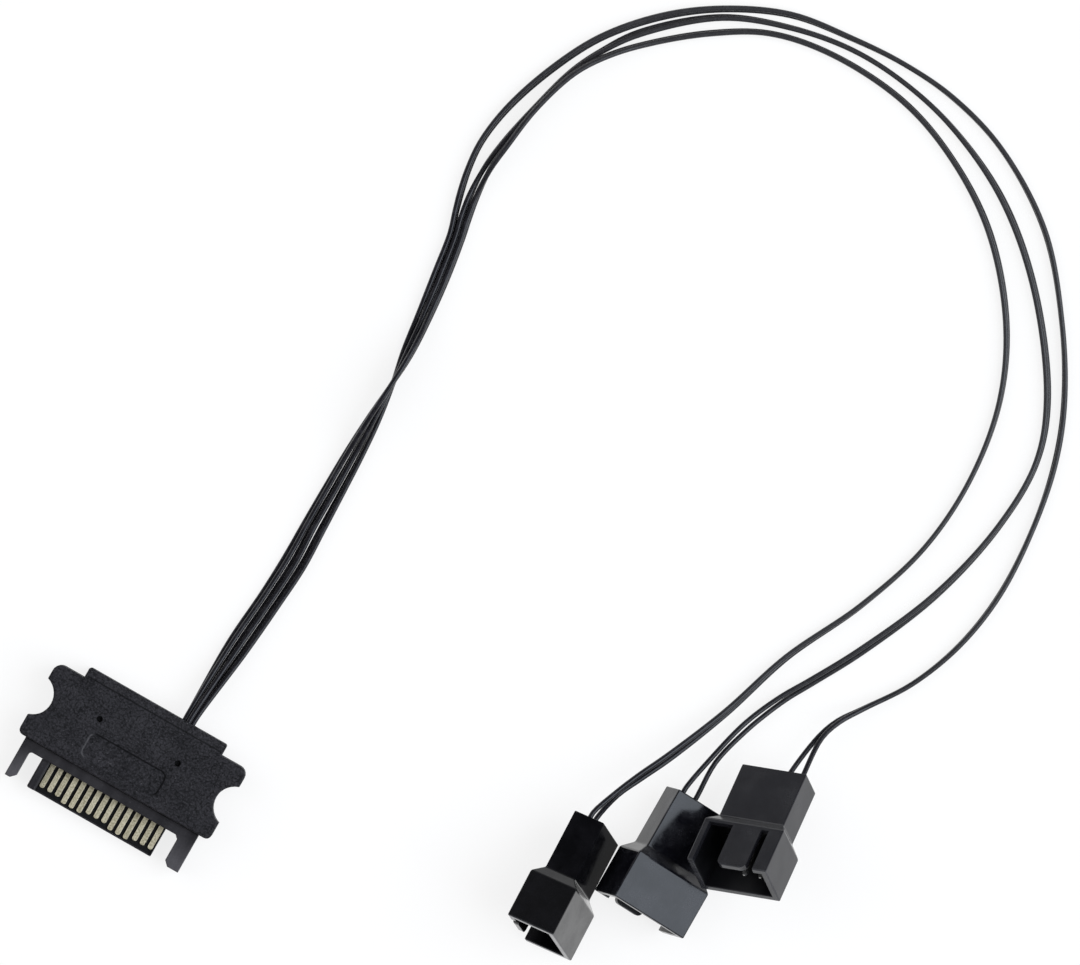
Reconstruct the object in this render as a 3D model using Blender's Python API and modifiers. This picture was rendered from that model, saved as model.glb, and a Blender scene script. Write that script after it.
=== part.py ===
# Fan power cable: a flat 15-way power plug feeds three two-wire leads, and each lead ends in a four-way fan plug.
# The power plug lies flat, centred on the origin, with its contact tongue towards -Y and its wires leaving at +Y.
# The leads loop round to +X, where the three fan plugs lie together. Lengths are in metres.
import math

import bmesh
import bpy
from mathutils import Euler, Matrix, Vector

MM = 0.001

# Clearances
SEAM_GAP = 0.30 * MM
CONTACT_GAP = 0.15 * MM
WIRE_GAP = 0.30 * MM

# Power plug: contacts
CONTACT_COUNT = 15
CONTACT_PITCH = 1.27 * MM
CONTACT_WIDTH = 0.75 * MM
CONTACT_THICKNESS = 0.25 * MM
CONTACT_END_RADIUS = 0.28 * MM
CONTACT_TAIL = 1.00 * MM
LONG_CONTACTS = (4, 5, 6, 10, 11, 12)
LONG_SETBACK = 0.40 * MM
SHORT_SETBACK = 0.87 * MM

# Power plug: tongue, arms and apron of the contact carrier
PLUG_LENGTH = 19.36 * MM
TONGUE_LEFT_MARGIN = 1.86 * MM
TONGUE_RIGHT_MARGIN = 0.66 * MM
TONGUE_THICKNESS = 1.30 * MM
TONGUE_RIM = 0.22 * MM
KEY_WIDTH = 1.30 * MM
KEY_HEIGHT = 1.50 * MM
ARM_WIDTH_LEFT = 1.52 * MM
ARM_WIDTH_RIGHT = 2.44 * MM
ARM_GAP_LEFT = 2.05 * MM
ARM_GAP_RIGHT = 2.11 * MM
ARM_HEIGHT = 4.00 * MM
ARM_TIP_CHAMFER = 0.70 * MM
ARM_ROOT_RADIUS = 0.50 * MM
APRON_DEPTH = 1.28 * MM
BLOCK_DEPTH = 2.20 * MM
BLOCK_WIDTH = 21.00 * MM
BLOCK_HEIGHT = 3.40 * MM
FLANGE_DEPTH = 1.00 * MM
FLANGE_WIDTH = 24.00 * MM
CARRIER_EDGE = 0.12 * MM

# Power plug: the two shells
PLUG_WIDTH = 31.40 * MM
PLUG_HEIGHT = 6.00 * MM
SHELL_WALL = 0.80 * MM
SHELL_FRONT_WALL = 1.60 * MM
SHELL_DEPTH = 11.50 * MM
STRIP_WIDTH = 22.56 * MM
STRIP_DEPTH = 1.68 * MM
STRIP_SLOPE_DROP = 0.50 * MM
STRIP_SLOPE_DEPTH = 1.30 * MM
CHAMBER_WIDTH = 20.00 * MM
EAR_FRONT_RADIUS = 0.80 * MM
EAR_REAR_RADIUS = 1.30 * MM
STRIP_CORNER_RADIUS = 0.35 * MM
NOTCH_RADIUS = 3.10 * MM
NOTCH_SETBACK = 0.95 * MM
NOTCH_ABOVE_FRONT = 5.85 * MM
SHELL_EDGE = 0.18 * MM
PANEL_WIDTH = 12.30 * MM
PANEL_DEPTH = 3.70 * MM
PANEL_LEFT = 6.40 * MM
PANEL_ABOVE_FRONT = 1.60 * MM
PANEL_SINK = 0.12 * MM
PANEL_RADIUS = 0.90 * MM
PINHOLE_DIAMETER = 0.90 * MM
PINHOLE_SINK = 0.50 * MM
PINHOLE_SPACING = 12.80 * MM
PINHOLE_ABOVE_FRONT = 7.40 * MM

# Wires
WIRE_DIAMETER = 0.75 * MM
PAIR_PITCH = 0.95 * MM
WIRE_COLUMN_PITCH = 0.665 * MM
WIRE_ROW_PITCH = 1.00 * MM
WIRE_EXIT_X = 4.84 * MM
WIRE_STRAIGHT_OUT = 0.95 * MM
FLOOR_CLEARANCE = 0.025 * MM
FINE_STEP = 1.50 * MM
COARSE_STEP = 4.00 * MM

# Fan plug: four ways, of which the first two carry a wire
FAN_WAYS = 4
FAN_PITCH = 2.54 * MM
BODY_WIDTH = 10.30 * MM
BODY_THICKNESS = 4.80 * MM
BODY_LENGTH = 9.20 * MM
SHOULDER_LENGTH = 1.50 * MM
SHROUD_WIDTH = 12.60 * MM
SHROUD_THICKNESS = 7.50 * MM
SHROUD_LENGTH = 7.35 * MM
SHROUD_WALL = 0.90 * MM
FAN_EDGE = 0.18 * MM
SLOT_FROM_SIDE = 2.20 * MM
SLOT_WIDTH = 1.20 * MM
LATCH_WIDTH = 4.50 * MM
LATCH_RADIUS = 0.80 * MM
GAP_RIM = 0.60 * MM
CAVITY_WIDTH = 2.00 * MM
CAVITY_THICKNESS = 2.40 * MM
CAVITY_WEB = 1.40 * MM
CRIMP_WIDTH = 1.50 * MM
CRIMP_THICKNESS = 1.60 * MM
CRIMP_LENGTH = 3.80 * MM
PIN_SIZE = 0.64 * MM
PIN_SETBACK = 1.10 * MM
PIN_TIP = 0.40 * MM

# How each fan plug lies: turn in degrees, then the middle of its rear face in millimetres
FAN_POSES = (
    ((-121.8, 67.4, -27.8), (62.90, 25.59, 5.54)),
    ((-97.5, 21.6, -2.9), (74.27, 35.72, 4.47)),
    ((122.9, 26.5, -159.1), (82.02, 44.57, 6.35)),
)

# Middle line of each two-wire lead, from the power plug to its fan plug, chosen by hand.
# Each station is x, y and lift off the floor in millimetres, then the roll of the pair in degrees.
LEAD_ROUTES = (
    (
        (4.33, 22.5, 0.50, 62), (5.01, 31.0, 0.05, 60), (5.28, 37.0, 0.00, 56), (5.25, 43.0, 0.00, 62),
        (5.28, 49.0, 0.30, 67), (5.36, 55.0, 0.95, 75), (5.66, 60.5, 3.00, 81), (6.10, 66.0, 3.66, 90),
        (6.35, 71.0, 3.25, 99), (6.02, 77.0, 1.15, 103), (5.41, 83.0, 0.20, 104), (4.49, 89.0, 0.00, 104),
        (3.87, 92.0, 0.00, 106), (3.36, 95.2, 0.10, 101), (3.09, 99.5, 1.12, 87), (3.53, 103.7, 1.75, 84),
        (4.49, 110.3, 1.90, 86), (6.77, 117.6, 1.85, 82), (9.80, 122.3, 1.25, 78), (14.10, 126.8, 0.25, 77),
        (20.90, 132.3, 0.00, 75), (28.15, 136.4, 0.00, 79), (37.35, 138.2, 0.00, 80), (49.70, 137.4, 0.00, 77),
        (59.80, 133.7, 0.00, 77), (69.50, 127.3, 0.00, 71), (78.00, 117.3, 0.00, 74), (82.80, 107.0, 0.00, 82),
        (84.69, 95.1, 0.00, 88), (83.80, 83.3, 0.00, 88), (80.05, 71.8, 0.00, 82), (74.47, 60.1, 0.30, 73),
        (70.79, 48.9, 1.50, 62), (66.91, 39.5, 3.60, 46), (64.66, 34.9, 5.20, 48), (62.95, 31.1, 6.20, 60),
    ),
    (
        (5.53, 22.5, 0.50, 62), (6.24, 31.0, 0.05, 60), (6.57, 37.0, 0.00, 56), (6.40, 43.0, 0.00, 65),
        (6.41, 49.0, 0.15, 67), (6.35, 55.0, 0.48, 75), (6.31, 60.5, 1.50, 81), (6.16, 66.0, 1.83, 90),
        (5.80, 71.0, 1.62, 99), (5.24, 77.0, 0.58, 103), (4.50, 83.0, 0.10, 104), (3.60, 89.0, 0.00, 104),
        (2.91, 92.0, 0.00, 106), (2.40, 95.2, 0.00, 102), (2.25, 99.5, 0.00, 87), (2.76, 103.8, 0.00, 82),
        (4.16, 110.3, 0.00, 84), (6.27, 117.7, 0.00, 80), (8.56, 122.3, 0.00, 76), (12.06, 127.3, 0.00, 60),
        (21.10, 135.0, 0.00, 72), (30.42, 138.6, 0.00, 82), (39.60, 140.2, 0.00, 86), (48.30, 139.8, 0.00, 88),
        (57.65, 137.6, 0.00, 84), (68.94, 132.2, 0.00, 71), (79.43, 123.1, 0.00, 70), (88.65, 110.5, 0.00, 68),
        (91.70, 102.0, 0.00, 77), (91.55, 91.3, 0.00, 77), (88.60, 78.5, 0.00, 66), (83.30, 66.2, 0.00, 52),
        (79.20, 58.7, 0.14, 48), (77.06, 55.0, 0.42, 38), (75.30, 51.2, 1.02, 20), (74.11, 48.0, 1.76, 15),
        (72.61, 42.1, 3.50, 22),
    ),
    (
        (6.73, 22.5, 0.50, -118), (7.47, 31.0, 0.05, -120), (7.86, 37.0, 0.00, -124), (7.69, 43.0, 0.00, -122),
        (7.54, 49.0, 0.00, -113), (7.34, 55.0, 0.00, -105), (6.96, 60.5, 0.00, -99), (6.22, 66.0, 0.00, -90),
        (5.25, 71.0, 0.00, -81), (4.46, 77.0, 0.00, -77), (3.59, 83.0, 0.00, -76), (2.71, 89.0, 0.00, -76),
        (1.81, 92.0, 0.00, -74), (1.00, 95.0, 0.00, -72), (0.35, 98.2, 0.00, -75), (0.02, 102.4, 0.00, -76),
        (0.82, 108.2, 0.00, -72), (3.32, 115.8, 0.00, -68), (7.40, 123.8, 0.00, -68), (13.50, 130.8, 0.00, -67),
        (20.59, 136.1, 0.00, -74), (29.49, 140.2, 0.00, -76), (38.70, 141.6, 0.00, -85), (47.00, 142.1, 0.00, -90),
        (55.44, 141.4, 0.00, -87), (65.05, 138.5, 0.00, -88), (76.25, 131.4, 0.00, -83), (84.94, 121.2, 0.00, -88),
        (90.85, 111.5, 0.00, -82), (94.00, 103.4, 0.00, -80), (95.90, 94.0, 0.00, -88), (96.50, 82.9, 0.00, -84),
        (95.10, 73.8, 0.00, -86), (91.97, 65.7, 0.10, -90), (87.59, 59.1, 0.85, -86), (85.40, 55.8, 2.20, -72),
        (84.25, 52.6, 3.80, -60),
    ),
)

# Wires of each lead: name, contact it serves, place in the exit block (column, row), side of the pair, fan way,
# then its way through the plug's chamber as (share of the sideways travel from exit to contact, rise in millimetres),
# and how far it leans from the middle of its fan way (across, towards the latch) in millimetres.
LEAD_WIRES = (
    (
        ("ground_wire_1", 10, (-1, 0.5), 1, 1, ((0.25, 0.50), (0.60, 0.35), (0.88, 0.10)), (0.00, 0.25)),
        ("supply_wire_1", 13, (-1, -0.5), -1, 2, ((0.15, -0.95), (0.50, -1.10), (0.88, -0.80)), (0.00, 0.25)),
    ),
    (
        ("ground_wire_2", 11, (0, 1), 1, 1, ((0.25, 0.95), (0.60, 0.70), (0.88, 0.25)), (0.42, 0.00)),
        ("supply_wire_2", 14, (0, -1), -1, 2, ((0.22, -1.20), (0.55, -1.20), (0.88, -0.80)), (0.05, 0.00)),
    ),
    (
        ("ground_wire_3", 12, (1, 0.5), -1, 1, ((0.25, 0.50), (0.60, 0.25), (0.88, 0.00)), (0.42, 0.00)),
        ("supply_wire_3", 15, (1, -0.5), 1, 2, ((0.25, -1.00), (0.60, -1.00), (0.90, -0.80)), (0.00, 0.00)),
    ),
)

# Where those three chamber stations lie, as shares of the way from the exit to the wire's end
CHAMBER_SHARES = (0.22, 0.44, 0.67)

# Places worked out from the sizes above
PLUG_HALF_LENGTH = PLUG_LENGTH / 2
SEAM_MIDDLE = PLUG_HEIGHT / 2 + SEAM_GAP / 2
SEAM_LOW = SEAM_MIDDLE - SEAM_GAP / 2
SEAM_HIGH = SEAM_MIDDLE + SEAM_GAP / 2
FRONT_Y = -PLUG_HALF_LENGTH
REAR_Y = PLUG_HALF_LENGTH
EAR_REAR_Y = REAR_Y - STRIP_DEPTH
SHELL_FRONT_Y = EAR_REAR_Y - SHELL_DEPTH
APRON_REAR_Y = SHELL_FRONT_Y - SEAM_GAP
APRON_FRONT_Y = APRON_REAR_Y - APRON_DEPTH
BLOCK_REAR_Y = APRON_REAR_Y + BLOCK_DEPTH
FLANGE_REAR_Y = BLOCK_REAR_Y + FLANGE_DEPTH
TAIL_END_Y = FLANGE_REAR_Y + CONTACT_TAIL
CONTACT_LOW = SEAM_MIDDLE - CONTACT_THICKNESS
TONGUE_TOP = CONTACT_LOW + CONTACT_THICKNESS / 2
TONGUE_LEFT = -CONTACT_PITCH * (CONTACT_COUNT - 1) / 2 - TONGUE_LEFT_MARGIN
TONGUE_RIGHT = CONTACT_PITCH * (CONTACT_COUNT - 1) / 2 + TONGUE_RIGHT_MARGIN
ARM_LOW = (PLUG_HEIGHT - ARM_HEIGHT) / 2
FAN_LENGTH = BODY_LENGTH + SHOULDER_LENGTH + SHROUD_LENGTH
CRIMP_FRONT = BODY_LENGTH + SHOULDER_LENGTH - CAVITY_WEB - SEAM_GAP
CRIMP_REAR = CRIMP_FRONT - CRIMP_LENGTH


# Scene, collections and materials

def new_collection(name):
    collection = bpy.data.collections.new(name)
    bpy.context.scene.collection.children.link(collection)
    return collection


def new_material(name, colour, roughness, metallic=0.0):
    material = bpy.data.materials.new(name)
    material.use_nodes = True
    shader = material.node_tree.nodes["Principled BSDF"]
    shader.inputs["Base Color"].default_value = (*colour, 1.0)
    shader.inputs["Roughness"].default_value = roughness
    shader.inputs["Metallic"].default_value = metallic
    material.diffuse_color = (*colour, 1.0)
    return material


def new_object(name, mesh, collection):
    made = bpy.data.objects.new(name, mesh)
    collection.objects.link(made)
    return made


def mesh_of(name, bm):
    mesh = bpy.data.meshes.new(name)
    bmesh.ops.recalc_face_normals(bm, faces=bm.faces)
    bm.to_mesh(mesh)
    bm.free()
    return mesh


def settled_mesh(source, name):
    # The source object as its modifiers or curve settings leave it, as one plain welded mesh
    bpy.context.view_layer.update()
    graph = bpy.context.evaluated_depsgraph_get()
    mesh = bpy.data.meshes.new_from_object(source.evaluated_get(graph))
    mesh.name = name
    bm = bmesh.new()
    bm.from_mesh(mesh)
    bmesh.ops.remove_doubles(bm, verts=bm.verts, dist=0.001 * MM)
    bm.to_mesh(mesh)
    bm.free()
    return mesh


# Shapes

def add_boxes(bm, spans):
    # Each span is ((low x, high x), (low y, high y), (low z, high z))
    for span in spans:
        middle = Vector([(low + high) / 2 for low, high in span])
        size = Vector([high - low for low, high in span])
        place = Matrix.Translation(middle) @ Matrix.Diagonal((*size, 1.0))
        bmesh.ops.create_cube(bm, size=1.0, matrix=place)


def box_object(name, spans, collection):
    bm = bmesh.new()
    add_boxes(bm, spans)
    return new_object(name, mesh_of(name, bm), collection)


def cylinders_object(name, places, radius, z_span, collection, segments=24):
    bm = bmesh.new()
    for x, y in places:
        place = Matrix.Translation((x, y, sum(z_span) / 2))
        bmesh.ops.create_cone(bm, cap_ends=True, segments=segments, radius1=radius, radius2=radius,
                              depth=z_span[1] - z_span[0], matrix=place)
    return new_object(name, mesh_of(name, bm), collection)


def arc(centre, radius, start, end, count):
    # Points on a circle from one angle to another, in degrees
    points = []
    for i in range(count + 1):
        angle = math.radians(start + (end - start) * i / count)
        points.append((centre[0] + radius * math.cos(angle), centre[1] + radius * math.sin(angle)))
    return points


def plate_object(name, outline, z_span, collection, edge=0.0, edge_steps=1):
    # A flat plate of any outline, with its rims rounded by the width given as edge
    curve = bpy.data.curves.new(name, "CURVE")
    curve.dimensions = "2D"
    curve.fill_mode = "BOTH"
    curve.extrude = (z_span[1] - z_span[0]) / 2 - edge
    curve.bevel_depth = edge
    curve.bevel_resolution = edge_steps
    curve.offset = -edge
    spline = curve.splines.new("POLY")
    spline.points.add(len(outline) - 1)
    for point, (x, y) in zip(spline.points, outline):
        point.co = (x, y, 0.0, 1.0)
    spline.use_cyclic_u = True
    flat = new_object(name + "_outline", curve, collection)
    mesh = settled_mesh(flat, name)
    bpy.data.objects.remove(flat)
    mesh.transform(Matrix.Translation((0.0, 0.0, sum(z_span) / 2)))
    return new_object(name, mesh, collection)


def stepped_bar(name, sections, collection):
    # A bar that runs along -Z; each section is its distance from the rear, its width and its thickness
    bm = bmesh.new()
    start, width, thickness = sections[0]
    end = sections[1][0]
    add_boxes(bm, [((-width / 2, width / 2), (-thickness / 2, thickness / 2), (-end, -start))])
    bm.faces.ensure_lookup_table()
    face = min(bm.faces, key=lambda item: item.calc_center_median().z)
    for distance, width, thickness in sections[2:]:
        old_width = max(vert.co.x for vert in face.verts)
        old_thickness = max(vert.co.y for vert in face.verts)
        grown = bmesh.ops.extrude_face_region(bm, geom=[face])["geom"]
        bmesh.ops.delete(bm, geom=[face], context="FACES_ONLY")
        face = next(item for item in grown if isinstance(item, bmesh.types.BMFace))
        for vert in face.verts:
            vert.co.x *= width / 2 / old_width
            vert.co.y *= thickness / 2 / old_thickness
            vert.co.z = -distance
    return new_object(name, mesh_of(name, bm), collection)


def round_edges(target, width, segments=2):
    bevel = target.modifiers.new("rounded_edges", "BEVEL")
    bevel.width = width
    bevel.segments = segments
    bevel.limit_method = "ANGLE"
    bevel.angle_limit = math.radians(25)


def combine(target, tool, operation):
    step = target.modifiers.new(tool.name, "BOOLEAN")
    step.operation = operation
    step.solver = "EXACT"
    step.object = tool
    tool.display_type = "WIRE"
    tool.hide_render = True


def smooth_round_faces(target):
    target.data.shade_smooth()
    target.data.set_sharp_from_angle(angle=math.radians(32))


def smooth_line(points, step_of):
    # A smooth line through the points, each span cut into equal shares of about the step wanted there
    line = []
    padded = [points[0] * 2 - points[1]] + points + [points[-1] * 2 - points[-2]]
    for i in range(len(points) - 1):
        p0, p1, p2, p3 = padded[i:i + 4]
        t1 = (p1 - p0).length ** 0.5
        t2 = t1 + (p2 - p1).length ** 0.5
        t3 = t2 + (p3 - p2).length ** 0.5
        shares = max(1, round((p2 - p1).length / step_of(i, len(points) - 1)))
        for j in range(shares):
            t = t1 + (t2 - t1) * j / shares
            a1 = p0 * ((t1 - t) / t1) + p1 * (t / t1)
            a2 = p1 * ((t2 - t) / (t2 - t1)) + p2 * ((t - t1) / (t2 - t1))
            a3 = p2 * ((t3 - t) / (t3 - t2)) + p3 * ((t - t2) / (t3 - t2))
            b1 = a1 * ((t2 - t) / t2) + a2 * (t / t2)
            b2 = a2 * ((t3 - t) / (t3 - t1)) + a3 * ((t - t1) / (t3 - t1))
            line.append(b1 * ((t2 - t) / (t2 - t1)) + b2 * ((t - t1) / (t2 - t1)))
    line.append(points[-1].copy())
    return line


# Power plug

def contact_x(number):
    return (number - (CONTACT_COUNT + 1) / 2) * CONTACT_PITCH


def contact_front(number):
    return FRONT_Y + (LONG_SETBACK if number in LONG_CONTACTS else SHORT_SETBACK)


def make_contact(number, collection):
    x = contact_x(number)
    half = CONTACT_WIDTH / 2
    front = contact_front(number)
    inset = half - CONTACT_END_RADIUS
    outline = [(x + half, TAIL_END_Y), (x - half, TAIL_END_Y)]
    outline += arc((x - inset, front + CONTACT_END_RADIUS), CONTACT_END_RADIUS, 180, 270, 4)
    outline += arc((x + inset, front + CONTACT_END_RADIUS), CONTACT_END_RADIUS, 270, 360, 4)
    z_span = (CONTACT_LOW, CONTACT_LOW + CONTACT_THICKNESS)
    return plate_object("contact_%02d" % number, outline, z_span, collection)


def carrier_outline():
    left_gap_end = TONGUE_LEFT - ARM_GAP_LEFT
    right_gap_end = TONGUE_RIGHT + ARM_GAP_RIGHT
    left_side = left_gap_end - ARM_WIDTH_LEFT
    right_side = right_gap_end + ARM_WIDTH_RIGHT
    root = (left_gap_end + ARM_ROOT_RADIUS, APRON_FRONT_Y - ARM_ROOT_RADIUS)
    points = [(left_side, APRON_REAR_Y), (left_side, FRONT_Y), (left_gap_end - ARM_TIP_CHAMFER, FRONT_Y)]
    points += [(left_gap_end, FRONT_Y + ARM_TIP_CHAMFER)]
    points += arc(root, ARM_ROOT_RADIUS, 180, 90, 4)
    points += [(right_gap_end - ARM_ROOT_RADIUS, APRON_FRONT_Y), (right_gap_end, APRON_FRONT_Y - ARM_ROOT_RADIUS)]
    points += [(right_gap_end, FRONT_Y + ARM_TIP_CHAMFER), (right_gap_end + ARM_TIP_CHAMFER, FRONT_Y)]
    points += [(right_side, FRONT_Y), (right_side, APRON_REAR_Y)]
    return points


def make_carrier(collection, cutters):
    carrier = plate_object("contact_carrier", carrier_outline(), (ARM_LOW, ARM_LOW + ARM_HEIGHT), collection,
                           edge=CARRIER_EDGE)
    block_z = ((PLUG_HEIGHT - BLOCK_HEIGHT) / 2, (PLUG_HEIGHT + BLOCK_HEIGHT) / 2)
    apron_inside = APRON_REAR_Y - APRON_DEPTH / 2
    block = box_object("carrier_block", [
        ((-BLOCK_WIDTH / 2, BLOCK_WIDTH / 2), (apron_inside, BLOCK_REAR_Y + FLANGE_DEPTH / 2), block_z),
    ], cutters)
    flange = box_object("carrier_flange", [
        ((-FLANGE_WIDTH / 2, FLANGE_WIDTH / 2), (BLOCK_REAR_Y, FLANGE_REAR_Y), block_z),
    ], cutters)
    tongue = box_object("carrier_tongue", [
        ((TONGUE_LEFT, TONGUE_RIGHT), (FRONT_Y, apron_inside), (TONGUE_TOP - TONGUE_THICKNESS, TONGUE_TOP)),
    ], cutters)
    round_edges(tongue, CARRIER_EDGE)
    key_low = TONGUE_TOP - TONGUE_THICKNESS / 2
    key = box_object("carrier_key", [
        ((TONGUE_LEFT, TONGUE_LEFT + KEY_WIDTH), (FRONT_Y, apron_inside), (key_low, TONGUE_TOP + KEY_HEIGHT)),
    ], cutters)
    round_edges(key, CARRIER_EDGE * 2)
    for piece in (block, flange, tongue, key):
        combine(carrier, piece, "UNION")
    bed_low = CONTACT_LOW - CONTACT_GAP
    outer = contact_x(CONTACT_COUNT) + CONTACT_WIDTH / 2 + CONTACT_GAP
    bed = box_object("contact_bed", [
        ((-outer, outer), (FRONT_Y + TONGUE_RIM, APRON_FRONT_Y), (bed_low, TONGUE_TOP + CONTACT_THICKNESS)),
    ], cutters)
    slot_half = CONTACT_WIDTH / 2 + CONTACT_GAP
    slot_z = (bed_low, CONTACT_LOW + CONTACT_THICKNESS + CONTACT_GAP)
    slot_y = (APRON_FRONT_Y - CONTACT_GAP, FLANGE_REAR_Y + CONTACT_GAP)
    slots = box_object("contact_slots", [
        ((contact_x(n) - slot_half, contact_x(n) + slot_half), slot_y, slot_z)
        for n in range(1, CONTACT_COUNT + 1)
    ], cutters)
    combine(carrier, bed, "DIFFERENCE")
    combine(carrier, slots, "DIFFERENCE")
    return carrier


def shell_outline():
    half = PLUG_WIDTH / 2
    strip = STRIP_WIDTH / 2
    notch = (half + NOTCH_SETBACK, SHELL_FRONT_Y + NOTCH_ABOVE_FRONT)
    mouth = math.degrees(math.acos(NOTCH_SETBACK / NOTCH_RADIUS))
    right = arc((half - EAR_FRONT_RADIUS, SHELL_FRONT_Y + EAR_FRONT_RADIUS), EAR_FRONT_RADIUS, -90, 0, 4)
    right += arc(notch, NOTCH_RADIUS, 180 + mouth, 180 - mouth, 14)
    right += arc((half - EAR_REAR_RADIUS, EAR_REAR_Y - EAR_REAR_RADIUS), EAR_REAR_RADIUS, 0, 90, 5)
    right += [(strip, EAR_REAR_Y)]
    right += arc((strip - STRIP_CORNER_RADIUS, REAR_Y - STRIP_CORNER_RADIUS), STRIP_CORNER_RADIUS, 0, 90, 3)
    left = [(-x, y) for x, y in reversed(right)]
    return right + left


def shell_cuts(name, z_span, cutters):
    # The hollow that both shells share: front window, flange pocket, wire chamber and wire exit
    window = BLOCK_WIDTH / 2 + SEAM_GAP
    pocket = FLANGE_WIDTH / 2 + SEAM_GAP
    chamber = CHAMBER_WIDTH / 2
    exit_half = WIRE_COLUMN_PITCH + WIRE_DIAMETER / 2 + WIRE_GAP
    wall_rear = SHELL_FRONT_Y + SHELL_FRONT_WALL
    pocket_rear = FLANGE_REAR_Y + SEAM_GAP
    block_z = ((PLUG_HEIGHT - BLOCK_HEIGHT) / 2 - SEAM_GAP, (PLUG_HEIGHT + BLOCK_HEIGHT) / 2 + SEAM_GAP)
    inside_z = (SHELL_WALL, PLUG_HEIGHT - SHELL_WALL)
    exit_z = (SEAM_MIDDLE - WIRE_ROW_PITCH - WIRE_DIAMETER / 2 - WIRE_GAP,
              SEAM_MIDDLE + WIRE_ROW_PITCH + WIRE_DIAMETER / 2 + WIRE_GAP)
    over = SEAM_GAP

    def clipped(span):
        # Runs past the seam side of the shell, and keeps its own height on the other side
        return (max(span[0], z_span[0] - over), min(span[1], z_span[1] + over))

    spans = (
        ("window", (-window, window), (SHELL_FRONT_Y - over, wall_rear + over), block_z),
        ("pocket", (-pocket, pocket), (wall_rear, pocket_rear), block_z),
        ("chamber", (-chamber, chamber), (pocket_rear - over, EAR_REAR_Y), inside_z),
        ("exit", (WIRE_EXIT_X - exit_half, WIRE_EXIT_X + exit_half), (EAR_REAR_Y - over, REAR_Y + over), exit_z),
    )
    return [box_object(name + "_" + part, [(x, y, clipped(z))], cutters) for part, x, y, z in spans]


def make_base(collection, cutters):
    base = plate_object("plug_base", shell_outline(), (0.0, SEAM_LOW), collection, edge=SHELL_EDGE)
    for cut in shell_cuts("base", (0.0, SEAM_LOW), cutters):
        combine(base, cut, "DIFFERENCE")
    return base


def panel_outline():
    left = -PANEL_LEFT
    right = left + PANEL_WIDTH
    low = SHELL_FRONT_Y + PANEL_ABOVE_FRONT
    high = low + PANEL_DEPTH
    r = PANEL_RADIUS
    points = arc((left + r, low + r), r, 180, 270, 4)
    points += arc((right - r, low + r), r, 270, 360, 4)
    points += arc((right - r, high - r), r, 0, 90, 4)
    points += arc((left + r, high - r), r, 90, 180, 4)
    return points


def make_cover(collection, cutters):
    cover = plate_object("plug_cover", shell_outline(), (SEAM_HIGH, PLUG_HEIGHT), collection, edge=SHELL_EDGE)
    for cut in shell_cuts("cover", (SEAM_HIGH, PLUG_HEIGHT), cutters):
        combine(cover, cut, "DIFFERENCE")
    over = SEAM_GAP
    panel = plate_object("cover_panel", panel_outline(), (PLUG_HEIGHT - PANEL_SINK, PLUG_HEIGHT + over), cutters)
    hole_y = SHELL_FRONT_Y + PINHOLE_ABOVE_FRONT
    holes = cylinders_object("cover_pinholes", [(-PINHOLE_SPACING / 2, hole_y), (PINHOLE_SPACING / 2, hole_y)],
                             PINHOLE_DIAMETER / 2, (PLUG_HEIGHT - PINHOLE_SINK, PLUG_HEIGHT + over), cutters, 16)
    slope = box_object("strip_slope", [
        ((-PLUG_WIDTH / 2, PLUG_WIDTH / 2), (0.0, STRIP_DEPTH * 3), (0.0, STRIP_DEPTH)),
    ], cutters)
    slope.location = (0.0, REAR_Y - STRIP_SLOPE_DEPTH, PLUG_HEIGHT)
    slope.rotation_euler = (-math.atan2(STRIP_SLOPE_DROP, STRIP_SLOPE_DEPTH), 0.0, 0.0)
    for cut in (panel, holes, slope):
        combine(cover, cut, "DIFFERENCE")
    return cover


# Fan plugs

def fan_matrix(pose):
    turn, place = pose
    rotation = Euler([math.radians(angle) for angle in turn], "XYZ").to_matrix().to_4x4()
    return Matrix.Translation(Vector(place) * MM) @ rotation


def way_x(way):
    return (way - (FAN_WAYS + 1) / 2) * FAN_PITCH


def latch_cut(name, outline, cutters):
    # The outline is given as width and distance from the rear, and cuts through the wall on the latch side
    wall_low = SHROUD_THICKNESS / 2 - SHROUD_WALL
    wall_high = SHROUD_THICKNESS / 2 + SHROUD_WALL
    cutter = plate_object(name, outline, (wall_low, wall_high), cutters)
    cutter.data.transform(Matrix.Rotation(math.radians(-90), 4, "X"))
    return cutter


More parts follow.
